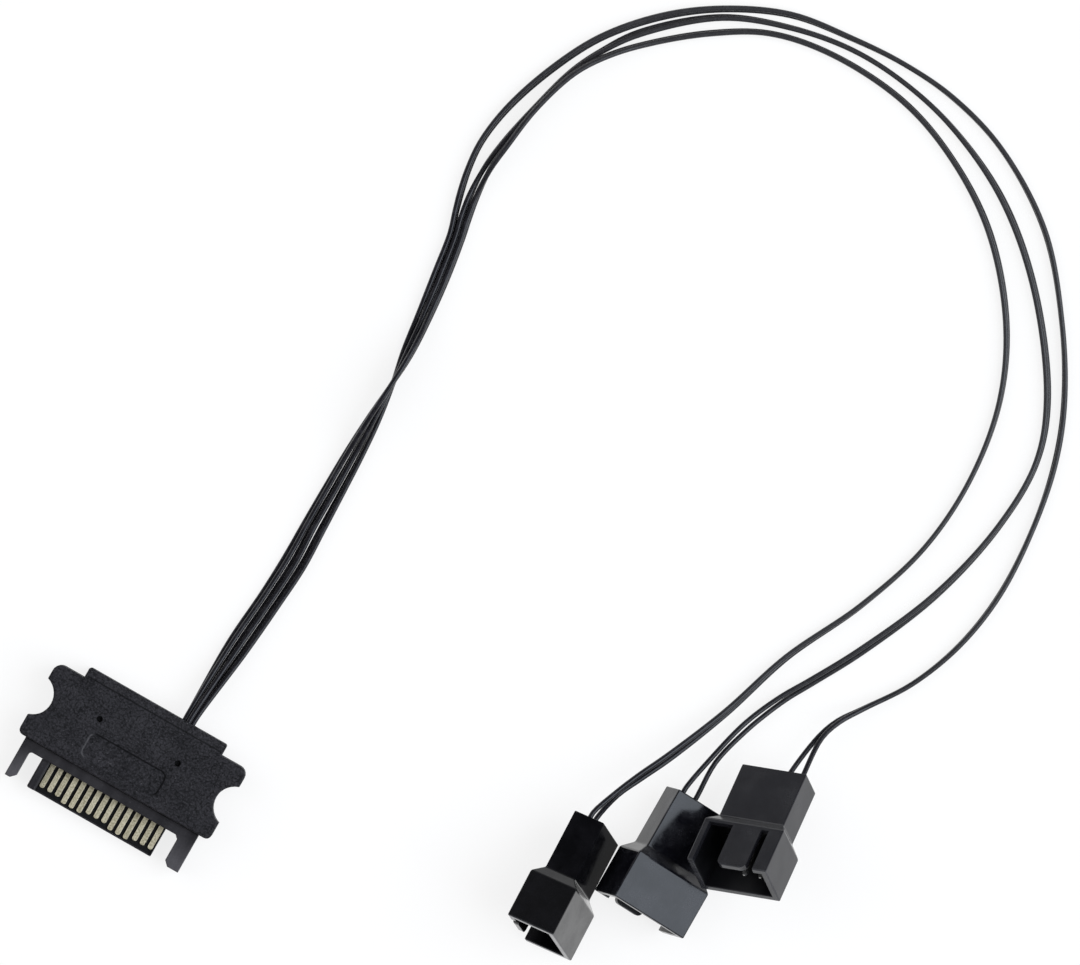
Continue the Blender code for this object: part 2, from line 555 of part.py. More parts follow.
def fan_housing_mesh(cutters):
    shroud_start = BODY_LENGTH + SHOULDER_LENGTH
    sections = (
        (0.0, BODY_WIDTH, BODY_THICKNESS),
        (BODY_LENGTH, BODY_WIDTH, BODY_THICKNESS),
        (shroud_start, SHROUD_WIDTH, SHROUD_THICKNESS),
        (FAN_LENGTH, SHROUD_WIDTH, SHROUD_THICKNESS),
    )
    blank = stepped_bar("fan_housing_blank", sections, cutters)
    round_edges(blank, FAN_EDGE)
    half_width = SHROUD_WIDTH / 2
    inner_width = half_width - SHROUD_WALL
    inner_thickness = SHROUD_THICKNESS / 2 - SHROUD_WALL
    cavity = box_object("shroud_hollow", [
        ((-inner_width, inner_width), (-inner_thickness, inner_thickness), (-FAN_LENGTH * 1.1, -shroud_start)),
    ], cutters)
    ways = range(1, FAN_WAYS + 1)
    web_start = shroud_start - CAVITY_WEB
    wire_ways = box_object("wire_ways", [
        ((way_x(way) - CAVITY_WIDTH / 2, way_x(way) + CAVITY_WIDTH / 2),
         (-CAVITY_THICKNESS / 2, CAVITY_THICKNESS / 2), (-web_start, SHROUD_WALL))
        for way in ways
    ], cutters)
    hole = PIN_SIZE / 2 + CONTACT_GAP
    pin_holes = box_object("pin_holes", [
        ((way_x(way) - hole, way_x(way) + hole), (-hole, hole), (-shroud_start - SEAM_GAP, -web_start + SEAM_GAP))
        for way in ways
    ], cutters)
    slot_left = -half_width + SLOT_FROM_SIDE
    latch_left = slot_left + SLOT_WIDTH
    latch_right = latch_left + LATCH_WIDTH
    gap_start = shroud_start + GAP_RIM
    past_mouth = FAN_LENGTH + SHROUD_WALL
    left_round = (latch_left + LATCH_RADIUS, FAN_LENGTH - LATCH_RADIUS)
    right_round = (latch_right - LATCH_RADIUS, FAN_LENGTH - LATCH_RADIUS)
    slot_outline = [(slot_left, gap_start), (latch_left, gap_start)]
    slot_outline += arc(left_round, LATCH_RADIUS, 180, 90, 4)
    slot_outline += [(left_round[0], past_mouth), (slot_left, past_mouth)]
    gap_outline = [(latch_right, gap_start), (inner_width, gap_start), (inner_width, past_mouth)]
    gap_outline += [(right_round[0], past_mouth)]
    gap_outline += arc(right_round, LATCH_RADIUS, 90, 0, 4)
    cuts = [cavity, wire_ways, pin_holes]
    cuts += [latch_cut("latch_slot", slot_outline, cutters), latch_cut("latch_gap", gap_outline, cutters)]
    for cut in cuts:
        combine(blank, cut, "DIFFERENCE")
    mesh = settled_mesh(blank, "fan_housing")
    bpy.data.objects.remove(blank)
    return mesh


def terminal_mesh(cutters):
    sections = (
        (CRIMP_REAR, CRIMP_WIDTH, CRIMP_THICKNESS),
        (CRIMP_FRONT, CRIMP_WIDTH, CRIMP_THICKNESS),
        (CRIMP_FRONT, PIN_SIZE, PIN_SIZE),
        (FAN_LENGTH - PIN_SETBACK - PIN_TIP, PIN_SIZE, PIN_SIZE),
        (FAN_LENGTH - PIN_SETBACK, PIN_SIZE / 2, PIN_SIZE / 2),
    )
    blank = stepped_bar("terminal_blank", sections, cutters)
    mesh = blank.data
    bpy.data.objects.remove(blank)
    return mesh


# Wires

def lead_stations(route):
    # Middle of the pair, its right-hand side and its roll at each station
    stations = []
    for i, (x, y, lift, roll) in enumerate(route):
        before = route[max(i - 1, 0)]
        after = route[min(i + 1, len(route) - 1)]
        along = Vector((after[0] - before[0], after[1] - before[1], 0.0)).normalized()
        side = Vector((along.y, -along.x, 0.0))
        turn = math.radians(roll)
        height = FLOOR_CLEARANCE + WIRE_DIAMETER / 2 + PAIR_PITCH / 2 * abs(math.sin(turn)) + lift * MM
        across = side * math.cos(turn) + Vector((0.0, 0.0, math.sin(turn)))
        stations.append((Vector((x * MM, y * MM, height)), across))
    return stations


def chamber_points(contact, block_place, way_in):
    exit_x = WIRE_EXIT_X + block_place[0] * WIRE_COLUMN_PITCH
    exit_z = SEAM_MIDDLE + block_place[1] * WIRE_ROW_PITCH
    end = Vector((contact_x(contact), TAIL_END_Y + SEAM_GAP, CONTACT_LOW + CONTACT_THICKNESS / 2))
    points = [Vector((exit_x, REAR_Y + WIRE_STRAIGHT_OUT, exit_z)), Vector((exit_x, EAR_REAR_Y + SEAM_GAP, exit_z))]
    run = end.y - EAR_REAR_Y
    for share, (sideways, rise) in zip(CHAMBER_SHARES, way_in):
        x = exit_x + (end.x - exit_x) * sideways
        points.append(Vector((x, EAR_REAR_Y + run * share, SEAM_MIDDLE + rise * MM)))
    points.append(end + Vector((0.0, -run * (1 - CHAMBER_SHARES[-1]) * 0.45, 0.0)))
    points.append(end)
    return list(reversed(points))


def fan_entry_points(matrix, way, lean):
    x = way_x(way)
    leaning = (x + lean[0] * MM, lean[1] * MM)
    places = ((*leaning, WIRE_STRAIGHT_OUT), (*leaning, -SEAM_GAP), (x, 0.0, SEAM_GAP - CRIMP_REAR))
    return [matrix @ Vector(place) for place in places]


def step_along(span, spans):
    return FINE_STEP if span < 7 or span >= spans - 3 else COARSE_STEP


def make_wire(wire, stations, matrix, collection):
    name, contact, block_place, pair_side, way, way_in, lean = wire
    points = chamber_points(contact, block_place, way_in)
    points += [middle + across * (pair_side * PAIR_PITCH / 2) for middle, across in stations]
    points += fan_entry_points(matrix, way, lean)
    line = smooth_line(points, step_along)
    curve = bpy.data.curves.new(name, "CURVE")
    curve.dimensions = "3D"
    curve.bevel_depth = WIRE_DIAMETER / 2
    curve.bevel_resolution = 2
    curve.use_fill_caps = True
    spline = curve.splines.new("POLY")
    spline.points.add(len(line) - 1)
    for point, place in zip(spline.points, line):
        point.co = (*place, 1.0)
    return new_object(name, curve, collection)


# The whole cable

def build():
    for old in list(bpy.data.objects):
        bpy.data.objects.remove(old)
    parts = new_collection("fan_cable")
    cutters = new_collection("cutters")
    textured = new_material("charcoal_textured_plastic", (0.030, 0.031, 0.034), 0.62)
    moulded = new_material("charcoal_moulded_plastic", (0.024, 0.025, 0.028), 0.45)
    glossy = new_material("black_gloss_plastic", (0.010, 0.010, 0.012), 0.18)
    insulation = new_material("black_wire_insulation", (0.012, 0.012, 0.014), 0.35)
    gilt = new_material("pale_gold_contact", (0.62, 0.52, 0.30), 0.35, 1.0)
    tin = new_material("tinned_pin", (0.70, 0.70, 0.68), 0.30, 1.0)

    def finish(made, material):
        made.data.materials.clear()
        made.data.materials.append(material)

    for shell in (make_base(parts, cutters), make_cover(parts, cutters)):
        finish(shell, textured)
        smooth_round_faces(shell)
    carrier = make_carrier(parts, cutters)
    finish(carrier, moulded)
    smooth_round_faces(carrier)
    for number in range(1, CONTACT_COUNT + 1):
        finish(make_contact(number, parts), gilt)

    housing_mesh = fan_housing_mesh(cutters)
    housing_mesh.materials.append(glossy)
    terminal = terminal_mesh(cutters)
    terminal.materials.append(tin)
    for i, (pose, route, wires) in enumerate(zip(FAN_POSES, LEAD_ROUTES, LEAD_WIRES), start=1):
        matrix = fan_matrix(pose)
        housing = new_object("fan_housing_%d" % i, housing_mesh, parts)
        housing.matrix_world = matrix
        smooth_round_faces(housing)
        stations = lead_stations(route)
        for wire in wires:
            way = wire[4]
            pin = new_object("fan_%d_pin_%d" % (i, way), terminal, parts)
            pin.matrix_world = matrix @ Matrix.Translation((way_x(way), 0.0, 0.0))
            finish(make_wire(wire, stations, matrix, parts), insulation)


build()
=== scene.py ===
import math

import bpy
from mathutils import Euler, Matrix, Vector


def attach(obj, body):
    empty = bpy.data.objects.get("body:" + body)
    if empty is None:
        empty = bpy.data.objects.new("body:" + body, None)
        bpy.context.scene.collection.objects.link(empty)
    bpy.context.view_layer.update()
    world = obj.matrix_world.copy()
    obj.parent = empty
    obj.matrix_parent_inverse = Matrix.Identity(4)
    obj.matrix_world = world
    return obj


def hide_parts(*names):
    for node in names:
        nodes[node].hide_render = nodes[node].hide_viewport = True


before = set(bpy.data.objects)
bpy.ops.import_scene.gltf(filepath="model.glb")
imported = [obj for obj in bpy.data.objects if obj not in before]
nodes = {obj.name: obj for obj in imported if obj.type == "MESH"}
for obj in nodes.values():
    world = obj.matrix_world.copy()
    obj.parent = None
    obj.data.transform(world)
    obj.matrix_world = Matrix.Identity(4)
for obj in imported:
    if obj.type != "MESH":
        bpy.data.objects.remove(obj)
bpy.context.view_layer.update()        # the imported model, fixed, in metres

mm = 0.001
print("frame loaded:", len(nodes), "nodes")

# Camera: straight down, turned so that the power plug lies at the lower left
view = {
    "lookAt": (31.45, 64.35, 3.0),     # middle of the picture, in millimetres
    "turn": 29.7,                      # degrees
    "fieldWidth": 154.3,               # millimetres across the picture
    "lens": 600.0,
    "sensor": 36.0,
    "clip": (0.05, 30.0),              # metres
}


def makeCamera():
    data = bpy.data.cameras.new("tableCamera")
    data.lens = view["lens"]
    data.sensor_width = view["sensor"]
    data.clip_start, data.clip_end = view["clip"]
    distance = view["fieldWidth"] * mm * view["lens"] / view["sensor"]
    camera = bpy.data.objects.new("tableCamera", data)
    x, y, z = view["lookAt"]
    camera.location = (x * mm, y * mm, z * mm + distance)
    camera.rotation_euler = (0.0, 0.0, math.radians(view["turn"]))
    bpy.context.scene.collection.objects.link(camera)
    bpy.context.scene.camera = camera


def fromPicture(right, up, height):
    # A place given along the picture's own sides, in metres from its middle
    turn = math.radians(view["turn"])
    across = Vector((math.cos(turn), math.sin(turn), 0.0))
    upwards = Vector((-math.sin(turn), math.cos(turn), 0.0))
    middle = Vector((view["lookAt"][0] * mm, view["lookAt"][1] * mm, 0.0))
    return middle + across * right + upwards * up + Vector((0.0, 0.0, height))


makeCamera()
print("camera placed")


def fillRamp(ramp, stops, blue=1.0):
    while len(ramp.elements) < len(stops):
        ramp.elements.new(0.5)
    for element, (place, shade) in zip(ramp.elements, stops):
        element.position = place
        element.color = (shade, shade, shade * blue, 1.0)


# Shader maths: a Value is one socket, a Recipe is one material
class Value:
    def __init__(self, recipe, socket):
        self.recipe = recipe
        self.socket = socket

    def __add__(self, other):
        return self.recipe.maths("ADD", self, other)

    def __radd__(self, other):
        return self.recipe.maths("ADD", other, self)

    def __sub__(self, other):
        return self.recipe.maths("SUBTRACT", self, other)

    def __rsub__(self, other):
        return self.recipe.maths("SUBTRACT", other, self)

    def __mul__(self, other):
        return self.recipe.maths("MULTIPLY", self, other)

    def __rmul__(self, other):
        return self.recipe.maths("MULTIPLY", other, self)

    def __truediv__(self, other):
        return self.recipe.maths("DIVIDE", self, other)

    def __pow__(self, other):
        return self.recipe.maths("POWER", self, other)

    def __abs__(self):
        return self.recipe.maths("ABSOLUTE", self, 0.0)


class Recipe:
    def __init__(self, name, constants):
        self.material = bpy.data.materials.new(name)
        self.material.use_nodes = True
        self.tree = self.material.node_tree
        self.shader = self.tree.nodes["Principled BSDF"]
        for socketName, number in constants.items():
            self.shader.inputs[socketName].default_value = number

    def node(self, kind, settings=None, inputs=None, output=0):
        made = self.tree.nodes.new(kind)
        for key, setting in (settings or {}).items():
            if key == "stops":
                fillRamp(made.color_ramp, setting)
            else:
                setattr(made, key, setting)
        for key, given in (inputs or {}).items():
            if isinstance(given, Value):
                self.tree.links.new(given.socket, made.inputs[key])
            else:
                made.inputs[key].default_value = given
        return Value(self, made.outputs[output])

    def maths(self, operation, a, b):
        return self.node("ShaderNodeMath", {"operation": operation}, {0: a, 1: b})

    def vector(self, operation, a, b, output=0):
        return self.node("ShaderNodeVectorMath", {"operation": operation}, {0: a, 1: b}, output)

    def axes(self, where):
        made = self.node("ShaderNodeSeparateXYZ", None, {0: where}).socket.node
        return [Value(self, made.outputs[key]) for key in ("X", "Y", "Z")]

    def place(self):
        return self.node("ShaderNodeTexCoord", output="Object")

    def attribute(self, name, output="Vector"):
        return self.node("ShaderNodeAttribute", {"attribute_name": name}, output=output)

    def noise(self, where, grain, detail=2.0, rough=0.5):
        # grain is the size of the pattern in millimetres
        inputs = {"Vector": where, "Scale": 1 / (grain * mm), "Detail": detail, "Roughness": rough}
        return self.node("ShaderNodeTexNoise", None, inputs)

    def cells(self, where, grain):
        inputs = {"Vector": where, "Scale": 1 / (grain * mm)}
        return self.node("ShaderNodeTexVoronoi", {"feature": "F1"}, inputs, "Distance")

    def ramp(self, factor, *stops):
        # Stops lie between 0 and 1, so lengths are given as shares of 10 or 20 mm
        return self.node("ShaderNodeValToRGB", {"stops": stops}, {"Fac": factor})

    def rise(self, factor, low, high):
        return self.ramp(factor, (low, 0.0), (high, 1.0))

    def fall(self, factor, low, high):
        return self.ramp(factor, (low, 1.0), (high, 0.0))

    def mix(self, factor, a, b):
        settings = {"data_type": "RGBA", "clamp_factor": True}
        inputs = {0: factor, 6: a, 7: b}
        for key in (6, 7):
            if not isinstance(inputs[key], Value):
                inputs[key] = (*inputs[key], 1.0)
        return self.node("ShaderNodeMix", settings, inputs, 2)

    def bump(self, height, depth, strength, under=None):
        # depth is the pattern's height in millimetres
        inputs = {"Height": height, "Distance": depth * mm, "Strength": strength}
        if under is not None:
            inputs["Normal"] = under
        return self.node("ShaderNodeBump", None, inputs)

    def finish(self, **fed):
        for key, given in fed.items():
            self.tree.links.new(given.socket, self.shader.inputs[key.replace("_", " ")])
        return self.material


# Wire insulation: thin black skin with a soft sheen, drawn lines along it, small handling marks and painted
# light round the loop
insulation = {
    "dark": (0.0070, 0.0066, 0.0092),
    "wornAndLit": (0.0320, 0.0310, 0.0400),
    "loopLight": (0.0400, 0.0400, 0.0430),  # painted light: the skin is paler round the loop, where the light falls on the wires
    "litLoopShares": ((0.30, 0.0), (0.42, 1.0), (0.84, 1.0), (0.95, 0.0)),
    "length": 310.0,                   # millimetres, as are the grains and depths
    "sheen": 0.26,
    "dull": 0.42,
    "drawnGrain": 0.09,
    "scuffGrain": 1.6,
    "dustGrain": 0.22,
    "skinDepth": 0.012,
    "swellGrain": 3.5,
    "swellDepth": 0.05,
}


def insulationMaterial():
    recipe = Recipe("wireInsulation", {"Specular IOR Level": 0.5, "IOR": 1.48})
    where = recipe.attribute("wirePlace")
    drawn = recipe.noise(recipe.vector("MULTIPLY", where, (1.0, 1.0, 0.02)), insulation["drawnGrain"])
    scuffs = recipe.noise(where, insulation["scuffGrain"], 3.0, 0.6)
    dust = recipe.rise(recipe.noise(where, insulation["dustGrain"], 1.0), 0.62, 0.74)
    marks = recipe.rise(scuffs, 0.52, 0.80)
    wear = marks * 0.5 + dust * 0.25
    share = recipe.axes(where)[2] * (1 / (insulation["length"] * mm))
    litLoop = recipe.ramp(share, *insulation["litLoopShares"])
    skinColour = recipe.mix(wear, insulation["dark"], insulation["wornAndLit"])
    # painted light: the loop is painted paler where the light falls on it
    colour = recipe.mix(litLoop * (0.50 + 0.25 * scuffs), skinColour, insulation["loopLight"])
    roughness = insulation["sheen"] + (insulation["dull"] - insulation["sheen"]) * marks
    swell = recipe.bump(recipe.noise(where, insulation["swellGrain"], 1.0), insulation["swellDepth"], 0.5)
    skin = recipe.bump(drawn * 0.7 + scuffs * 0.3, insulation["skinDepth"], 0.5, swell)
    return recipe.finish(Base_Color=colour, Roughness=roughness, Normal=skin)


# Leads: the same stations as the source of the solids, each one x, y and lift in millimetres
# and roll in degrees. A wire is its node, contact, place in the block, side of its lead,
# way of the fan plug, route inside the power plug and lean in the fan plug's opening.
wire = {
    "diameter": 0.75,
    "pairPitch": 0.95,
    "columnPitch": 0.665,
    "rowPitch": 1.00,
    "exitX": 4.84,
    "straightOut": 0.95,
    "floorGap": 0.025,
    "sides": 16,
    "step": 1.1,
    "chamberShares": (0.22, 0.44, 0.67),
    "tailShare": 0.45,                 # how much of the last share runs straight to the contact
}
plug = {
    "rear": 9.68,
    "earRear": 8.00,
    "tailEnd": 0.40,
    "seamMiddle": 3.15,
    "contactMiddle": 3.025,
    "seamGap": 0.30,
    "contactPitch": 1.27,
    "contactCount": 15,
}
fanPlug = {
    "poses": (
        ((-121.8, 67.4, -27.8), (62.90, 25.59, 5.54)),
        ((-97.5, 21.6, -2.9), (74.27, 35.72, 4.47)),
        ((122.9, 26.5, -159.1), (82.02, 44.57, 6.35)),
    ),
    "ways": 4,
    "pitch": 2.54,
    "crimpRear": 5.20,
}
leads = (
    {
        "route": (
            (4.33, 22.5, 0.50, 62), (5.01, 31.0, 0.05, 60), (5.28, 37.0, 0.00, 56), (5.25, 43.0, 0.00, 62),
            (5.28, 49.0, 0.30, 67), (5.36, 55.0, 0.95, 75), (5.66, 60.5, 3.00, 81), (6.10, 66.0, 3.66, 90),
            (6.35, 71.0, 3.25, 99), (6.02, 77.0, 1.15, 103), (5.41, 83.0, 0.20, 104),
            (4.49, 89.0, 0.00, 104), (3.87, 92.0, 0.00, 106), (3.36, 95.2, 0.10, 101),
            (3.09, 99.5, 1.12, 87), (3.53, 103.7, 1.75, 84), (4.49, 110.3, 1.90, 86),
            (6.77, 117.6, 1.85, 82), (9.80, 122.3, 1.25, 78), (14.10, 126.8, 0.25, 77),
            (20.90, 132.3, 0.00, 75), (28.15, 136.4, 0.00, 79), (37.35, 138.2, 0.00, 80),
            (49.70, 137.4, 0.00, 77), (59.80, 133.7, 0.00, 77), (69.50, 127.3, 0.00, 71),
            (78.00, 117.3, 0.00, 74), (82.80, 107.0, 0.00, 82), (84.69, 95.1, 0.00, 88),
            (83.80, 83.3, 0.00, 88), (80.05, 71.8, 0.00, 82), (74.47, 60.1, 0.30, 73),
            (70.79, 48.9, 1.50, 62), (66.91, 39.5, 3.60, 46), (64.66, 34.9, 5.20, 48),
            (62.95, 31.1, 6.20, 60),
        ),
        "wires": (
            ("ground_wire_1", 10, (-1, 0.5), 1, 1,
             ((0.25, 0.50), (0.60, 0.35), (0.88, 0.10)), (0.00, 0.25)),
            ("supply_wire_1", 13, (-1, -0.5), -1, 2,
             ((0.15, -0.95), (0.50, -1.10), (0.88, -0.80)), (0.00, 0.25)),
        ),
    },
    {
        "route": (
            (5.53, 22.5, 0.50, 62), (6.24, 31.0, 0.05, 60), (6.57, 37.0, 0.00, 56), (6.40, 43.0, 0.00, 65),
            (6.41, 49.0, 0.15, 67), (6.35, 55.0, 0.48, 75), (6.31, 60.5, 1.50, 81), (6.16, 66.0, 1.83, 90),
            (5.80, 71.0, 1.62, 99), (5.24, 77.0, 0.58, 103), (4.50, 83.0, 0.10, 104),
            (3.60, 89.0, 0.00, 104), (2.91, 92.0, 0.00, 106), (2.40, 95.2, 0.00, 102),
            (2.25, 99.5, 0.00, 87), (2.76, 103.8, 0.00, 82), (4.16, 110.3, 0.00, 84),
            (6.27, 117.7, 0.00, 80), (8.56, 122.3, 0.00, 76), (12.06, 127.3, 0.00, 60),
            (21.10, 135.0, 0.00, 72), (30.42, 138.6, 0.00, 82), (39.60, 140.2, 0.00, 86),
            (48.30, 139.8, 0.00, 88), (57.65, 137.6, 0.00, 84), (68.94, 132.2, 0.00, 71),
            (79.43, 123.1, 0.00, 70), (88.65, 110.5, 0.00, 68), (91.70, 102.0, 0.00, 77),
            (91.55, 91.3, 0.00, 77), (88.60, 78.5, 0.00, 66), (83.30, 66.2, 0.00, 52),
            (79.20, 58.7, 0.14, 48), (77.06, 55.0, 0.42, 38), (75.30, 51.2, 1.02, 20),
            (74.11, 48.0, 1.76, 15), (72.61, 42.1, 3.50, 22),
        ),
        "wires": (
            ("ground_wire_2", 11, (0, 1), 1, 1,
             ((0.25, 0.95), (0.60, 0.70), (0.88, 0.25)), (0.42, 0.00)),
            ("supply_wire_2", 14, (0, -1), -1, 2,
             ((0.22, -1.20), (0.55, -1.20), (0.88, -0.80)), (0.05, 0.00)),
        ),
    },
    {
        "route": (
            (6.73, 22.5, 0.50, -118), (7.47, 31.0, 0.05, -120), (7.86, 37.0, 0.00, -124),
            (7.69, 43.0, 0.00, -122), (7.54, 49.0, 0.00, -113), (7.34, 55.0, 0.00, -105),
            (6.96, 60.5, 0.00, -99), (6.22, 66.0, 0.00, -90), (5.25, 71.0, 0.00, -81),
            (4.46, 77.0, 0.00, -77), (3.59, 83.0, 0.00, -76), (2.71, 89.0, 0.00, -76),
            (1.81, 92.0, 0.00, -74), (1.00, 95.0, 0.00, -72), (0.35, 98.2, 0.00, -75),
            (0.02, 102.4, 0.00, -76), (0.82, 108.2, 0.00, -72), (3.32, 115.8, 0.00, -68),
            (7.40, 123.8, 0.00, -68), (13.50, 130.8, 0.00, -67), (20.59, 136.1, 0.00, -74),
            (29.49, 140.2, 0.00, -76), (38.70, 141.6, 0.00, -85), (47.00, 142.1, 0.00, -90),
            (55.44, 141.4, 0.00, -87), (65.05, 138.5, 0.00, -88), (76.25, 131.4, 0.00, -83),
            (84.94, 121.2, 0.00, -88), (90.85, 111.5, 0.00, -82), (94.00, 103.4, 0.00, -80),
            (95.90, 94.0, 0.00, -88), (96.50, 82.9, 0.00, -84), (95.10, 73.8, 0.00, -86),
            (91.97, 65.7, 0.10, -90), (87.59, 59.1, 0.85, -86), (85.40, 55.8, 2.20, -72),
            (84.25, 52.6, 3.80, -60),
        ),
        "wires": (
            ("ground_wire_3", 12, (1, 0.5), -1, 1,
             ((0.25, 0.50), (0.60, 0.25), (0.88, 0.00)), (0.42, 0.00)),
            ("supply_wire_3", 15, (1, -0.5), 1, 2,
             ((0.25, -1.00), (0.60, -1.00), (0.90, -0.80)), (0.00, 0.00)),
        ),
    },
)


def fanMatrix(pose):
    turn, place = pose
    rotation = Euler([math.radians(angle) for angle in turn], "XYZ").to_matrix().to_4x4()
    return Matrix.Translation(Vector(place)) @ rotation


def wayX(way):
    return (way - (fanPlug["ways"] + 1) / 2) * fanPlug["pitch"]


def fanEntry(way, lean):
    # Through the plug's rear opening, leaning in it, to the crimp
    x = wayX(way)
    outside = Vector((x + lean[0], lean[1], wire["straightOut"]))
    inside = Vector((x + lean[0], lean[1], -plug["seamGap"]))
    return [outside, inside, Vector((x, 0.0, plug["seamGap"] - fanPlug["crimpRear"]))]


def contactX(number):
    return (number - (plug["contactCount"] + 1) / 2) * plug["contactPitch"]


def wireExit(blockPlace):
    column, row = blockPlace
    return wire["exitX"] + column * wire["columnPitch"], plug["seamMiddle"] + row * wire["rowPitch"]


def leadStations(route):
    # Middle of the pair, and the direction from one wire to the other
    stations = []
    for i, (x, y, lift, roll) in enumerate(route):
        before = route[max(i - 1, 0)]
        after = route[min(i + 1, len(route) - 1)]
        along = Vector((after[0] - before[0], after[1] - before[1], 0.0)).normalized()
        side = Vector((along.y, -along.x, 0.0))
        turn = math.radians(roll)
        lowest = wire["floorGap"] + wire["diameter"] / 2
        height = lowest + wire["pairPitch"] / 2 * abs(math.sin(turn)) + lift
        across = side * math.cos(turn) + Vector((0.0, 0.0, math.sin(turn)))
        stations.append((Vector((x, y, height)), across))
    return stations


def chamberPoints(contact, blockPlace, wayIn):
    # From the contact's tail, through the plug's inside, to just past its wire exit
    exitX, exitZ = wireExit(blockPlace)
    end = Vector((contactX(contact), plug["tailEnd"] + plug["seamGap"], plug["contactMiddle"]))
    points = [Vector((exitX, plug["rear"] + wire["straightOut"], exitZ))]
    points.append(Vector((exitX, plug["earRear"] + plug["seamGap"], exitZ)))
    run = end.y - plug["earRear"]
    for share, (sideways, rise) in zip(wire["chamberShares"], wayIn):
        x = exitX + (end.x - exitX) * sideways
        points.append(Vector((x, plug["earRear"] + run * share, plug["seamMiddle"] + rise)))
    straight = -run * (1 - wire["chamberShares"][-1]) * wire["tailShare"]
    points.append(end + Vector((0.0, straight, 0.0)))
    points.append(end)
    return points[::-1]


def smoothLine(points, spacing):
    # The same smooth line through the points as the solids follow, in shorter steps
    line = []
    padded = [points[0] * 2 - points[1]] + points + [points[-1] * 2 - points[-2]]
    for i in range(len(points) - 1):
        p0, p1, p2, p3 = padded[i:i + 4]
        t1 = (p1 - p0).length ** 0.5
        t2 = t1 + (p2 - p1).length ** 0.5
        t3 = t2 + (p3 - p2).length ** 0.5
        shares = max(2, round((p2 - p1).length / spacing))
        for j in range(shares):
            t = t1 + (t2 - t1) * j / shares
            a1 = p0 * ((t1 - t) / t1) + p1 * (t / t1)
            a2 = p1 * ((t2 - t) / (t2 - t1)) + p2 * ((t - t1) / (t2 - t1))
            a3 = p2 * ((t3 - t) / (t3 - t2)) + p3 * ((t - t2) / (t3 - t2))
            b1 = a1 * ((t2 - t) / t2) + a2 * (t / t2)
            b2 = a2 * ((t3 - t) / (t3 - t1)) + a3 * ((t - t1) / (t3 - t1))
            line.append(b1 * ((t2 - t) / (t2 - t1)) + b2 * ((t - t1) / (t2 - t1)))
    line.append(points[-1].copy())
    return line


def addInput(tree, name, kind, value=None):
    made = tree.interface.new_socket(name, in_out="INPUT", socket_type=kind)
    if value is not None:
        made.default_value = value
    return made.identifier


def step(tree, kind, settings=None, inputs=None, output=0):
    # One node: its settings first, then what is fed to it; the answer is the wanted output
    made = tree.nodes.new(kind)
    for key, setting in (settings or {}).items():
        setattr(made, key, setting)
    for key, given in (inputs or {}).items():
        if isinstance(given, bpy.types.NodeSocket):
            tree.links.new(given, made.inputs[key])
        else:
            made.inputs[key].default_value = given
    return made.outputs[output]


def store(tree, kind, shape, name, value, domain="POINT"):
    settings = {"data_type": kind, "domain": domain}
    inputs = {"Geometry": shape, "Name": name, "Value": value}
    return step(tree, "GeometryNodeStoreNamedAttribute", settings, inputs)


def reckon(tree, operation, a, b=0.0):
    return step(tree, "ShaderNodeMath", {"operation": operation}, {0: a, 1: b})


def endTree(tree, shape, material):
    real = step(tree, "GeometryNodeRealizeInstances", None, {"Geometry": shape})
    painted = step(tree, "GeometryNodeSetMaterial", None, {"Geometry": real, "Material": material})
    tree.links.new(painted, tree.nodes.new("NodeGroupOutput").inputs[0])


def wireTree():
    # A round wire along an edge path, with its own place stored as wirePlace: across, across, along
    tree = bpy.data.node_groups.new("wireAlongPath", "GeometryNodeTree")
    tree.interface.new_socket("Path", in_out="INPUT", socket_type="NodeSocketGeometry")
    names = {
        "diameter": addInput(tree, "Wire Diameter", "NodeSocketFloat", wire["diameter"] * mm),
        "sides": addInput(tree, "Sides", "NodeSocketInt", wire["sides"]),
        "material": addInput(tree, "Insulation", "NodeSocketMaterial"),
    }
    tree.interface.new_socket("Wire", in_out="OUTPUT", socket_type="NodeSocketGeometry")
    given = tree.nodes.new("NodeGroupInput").outputs
    path = step(tree, "GeometryNodeMeshToCurve", None, {"Mesh": given["Path"]})
    length = step(tree, "GeometryNodeSplineParameter", output="Length")
    along = store(tree, "FLOAT", path, "alongWire", length)
    half = reckon(tree, "DIVIDE", given["Wire Diameter"], 2.0)
    ring = step(tree, "GeometryNodeCurvePrimitiveCircle", None,
                {"Resolution": given["Sides"], "Radius": half})
    position = step(tree, "GeometryNodeInputPosition")
    around = store(tree, "FLOAT_VECTOR", ring, "aroundWire", position)
    swept = step(tree, "GeometryNodeCurveToMesh", None,
                 {"Curve": along, "Profile Curve": around, "Fill Caps": True})
    readAlong = step(tree, "GeometryNodeInputNamedAttribute", {"data_type": "FLOAT"}, {"Name": "alongWire"})
    readAround = step(tree, "GeometryNodeInputNamedAttribute", {"data_type": "FLOAT_VECTOR"},
                      {"Name": "aroundWire"})
    apart = step(tree, "ShaderNodeSeparateXYZ", None, {0: readAround}).node.outputs
    joined = step(tree, "ShaderNodeCombineXYZ", None, {"X": apart["X"], "Y": apart["Y"], "Z": readAlong})
    stored = store(tree, "FLOAT_VECTOR", swept, "wirePlace", joined)
    smooth = step(tree, "GeometryNodeSetShadeSmooth", None, {"Geometry": stored})
    endTree(tree, smooth, given["Insulation"])
    return tree, names


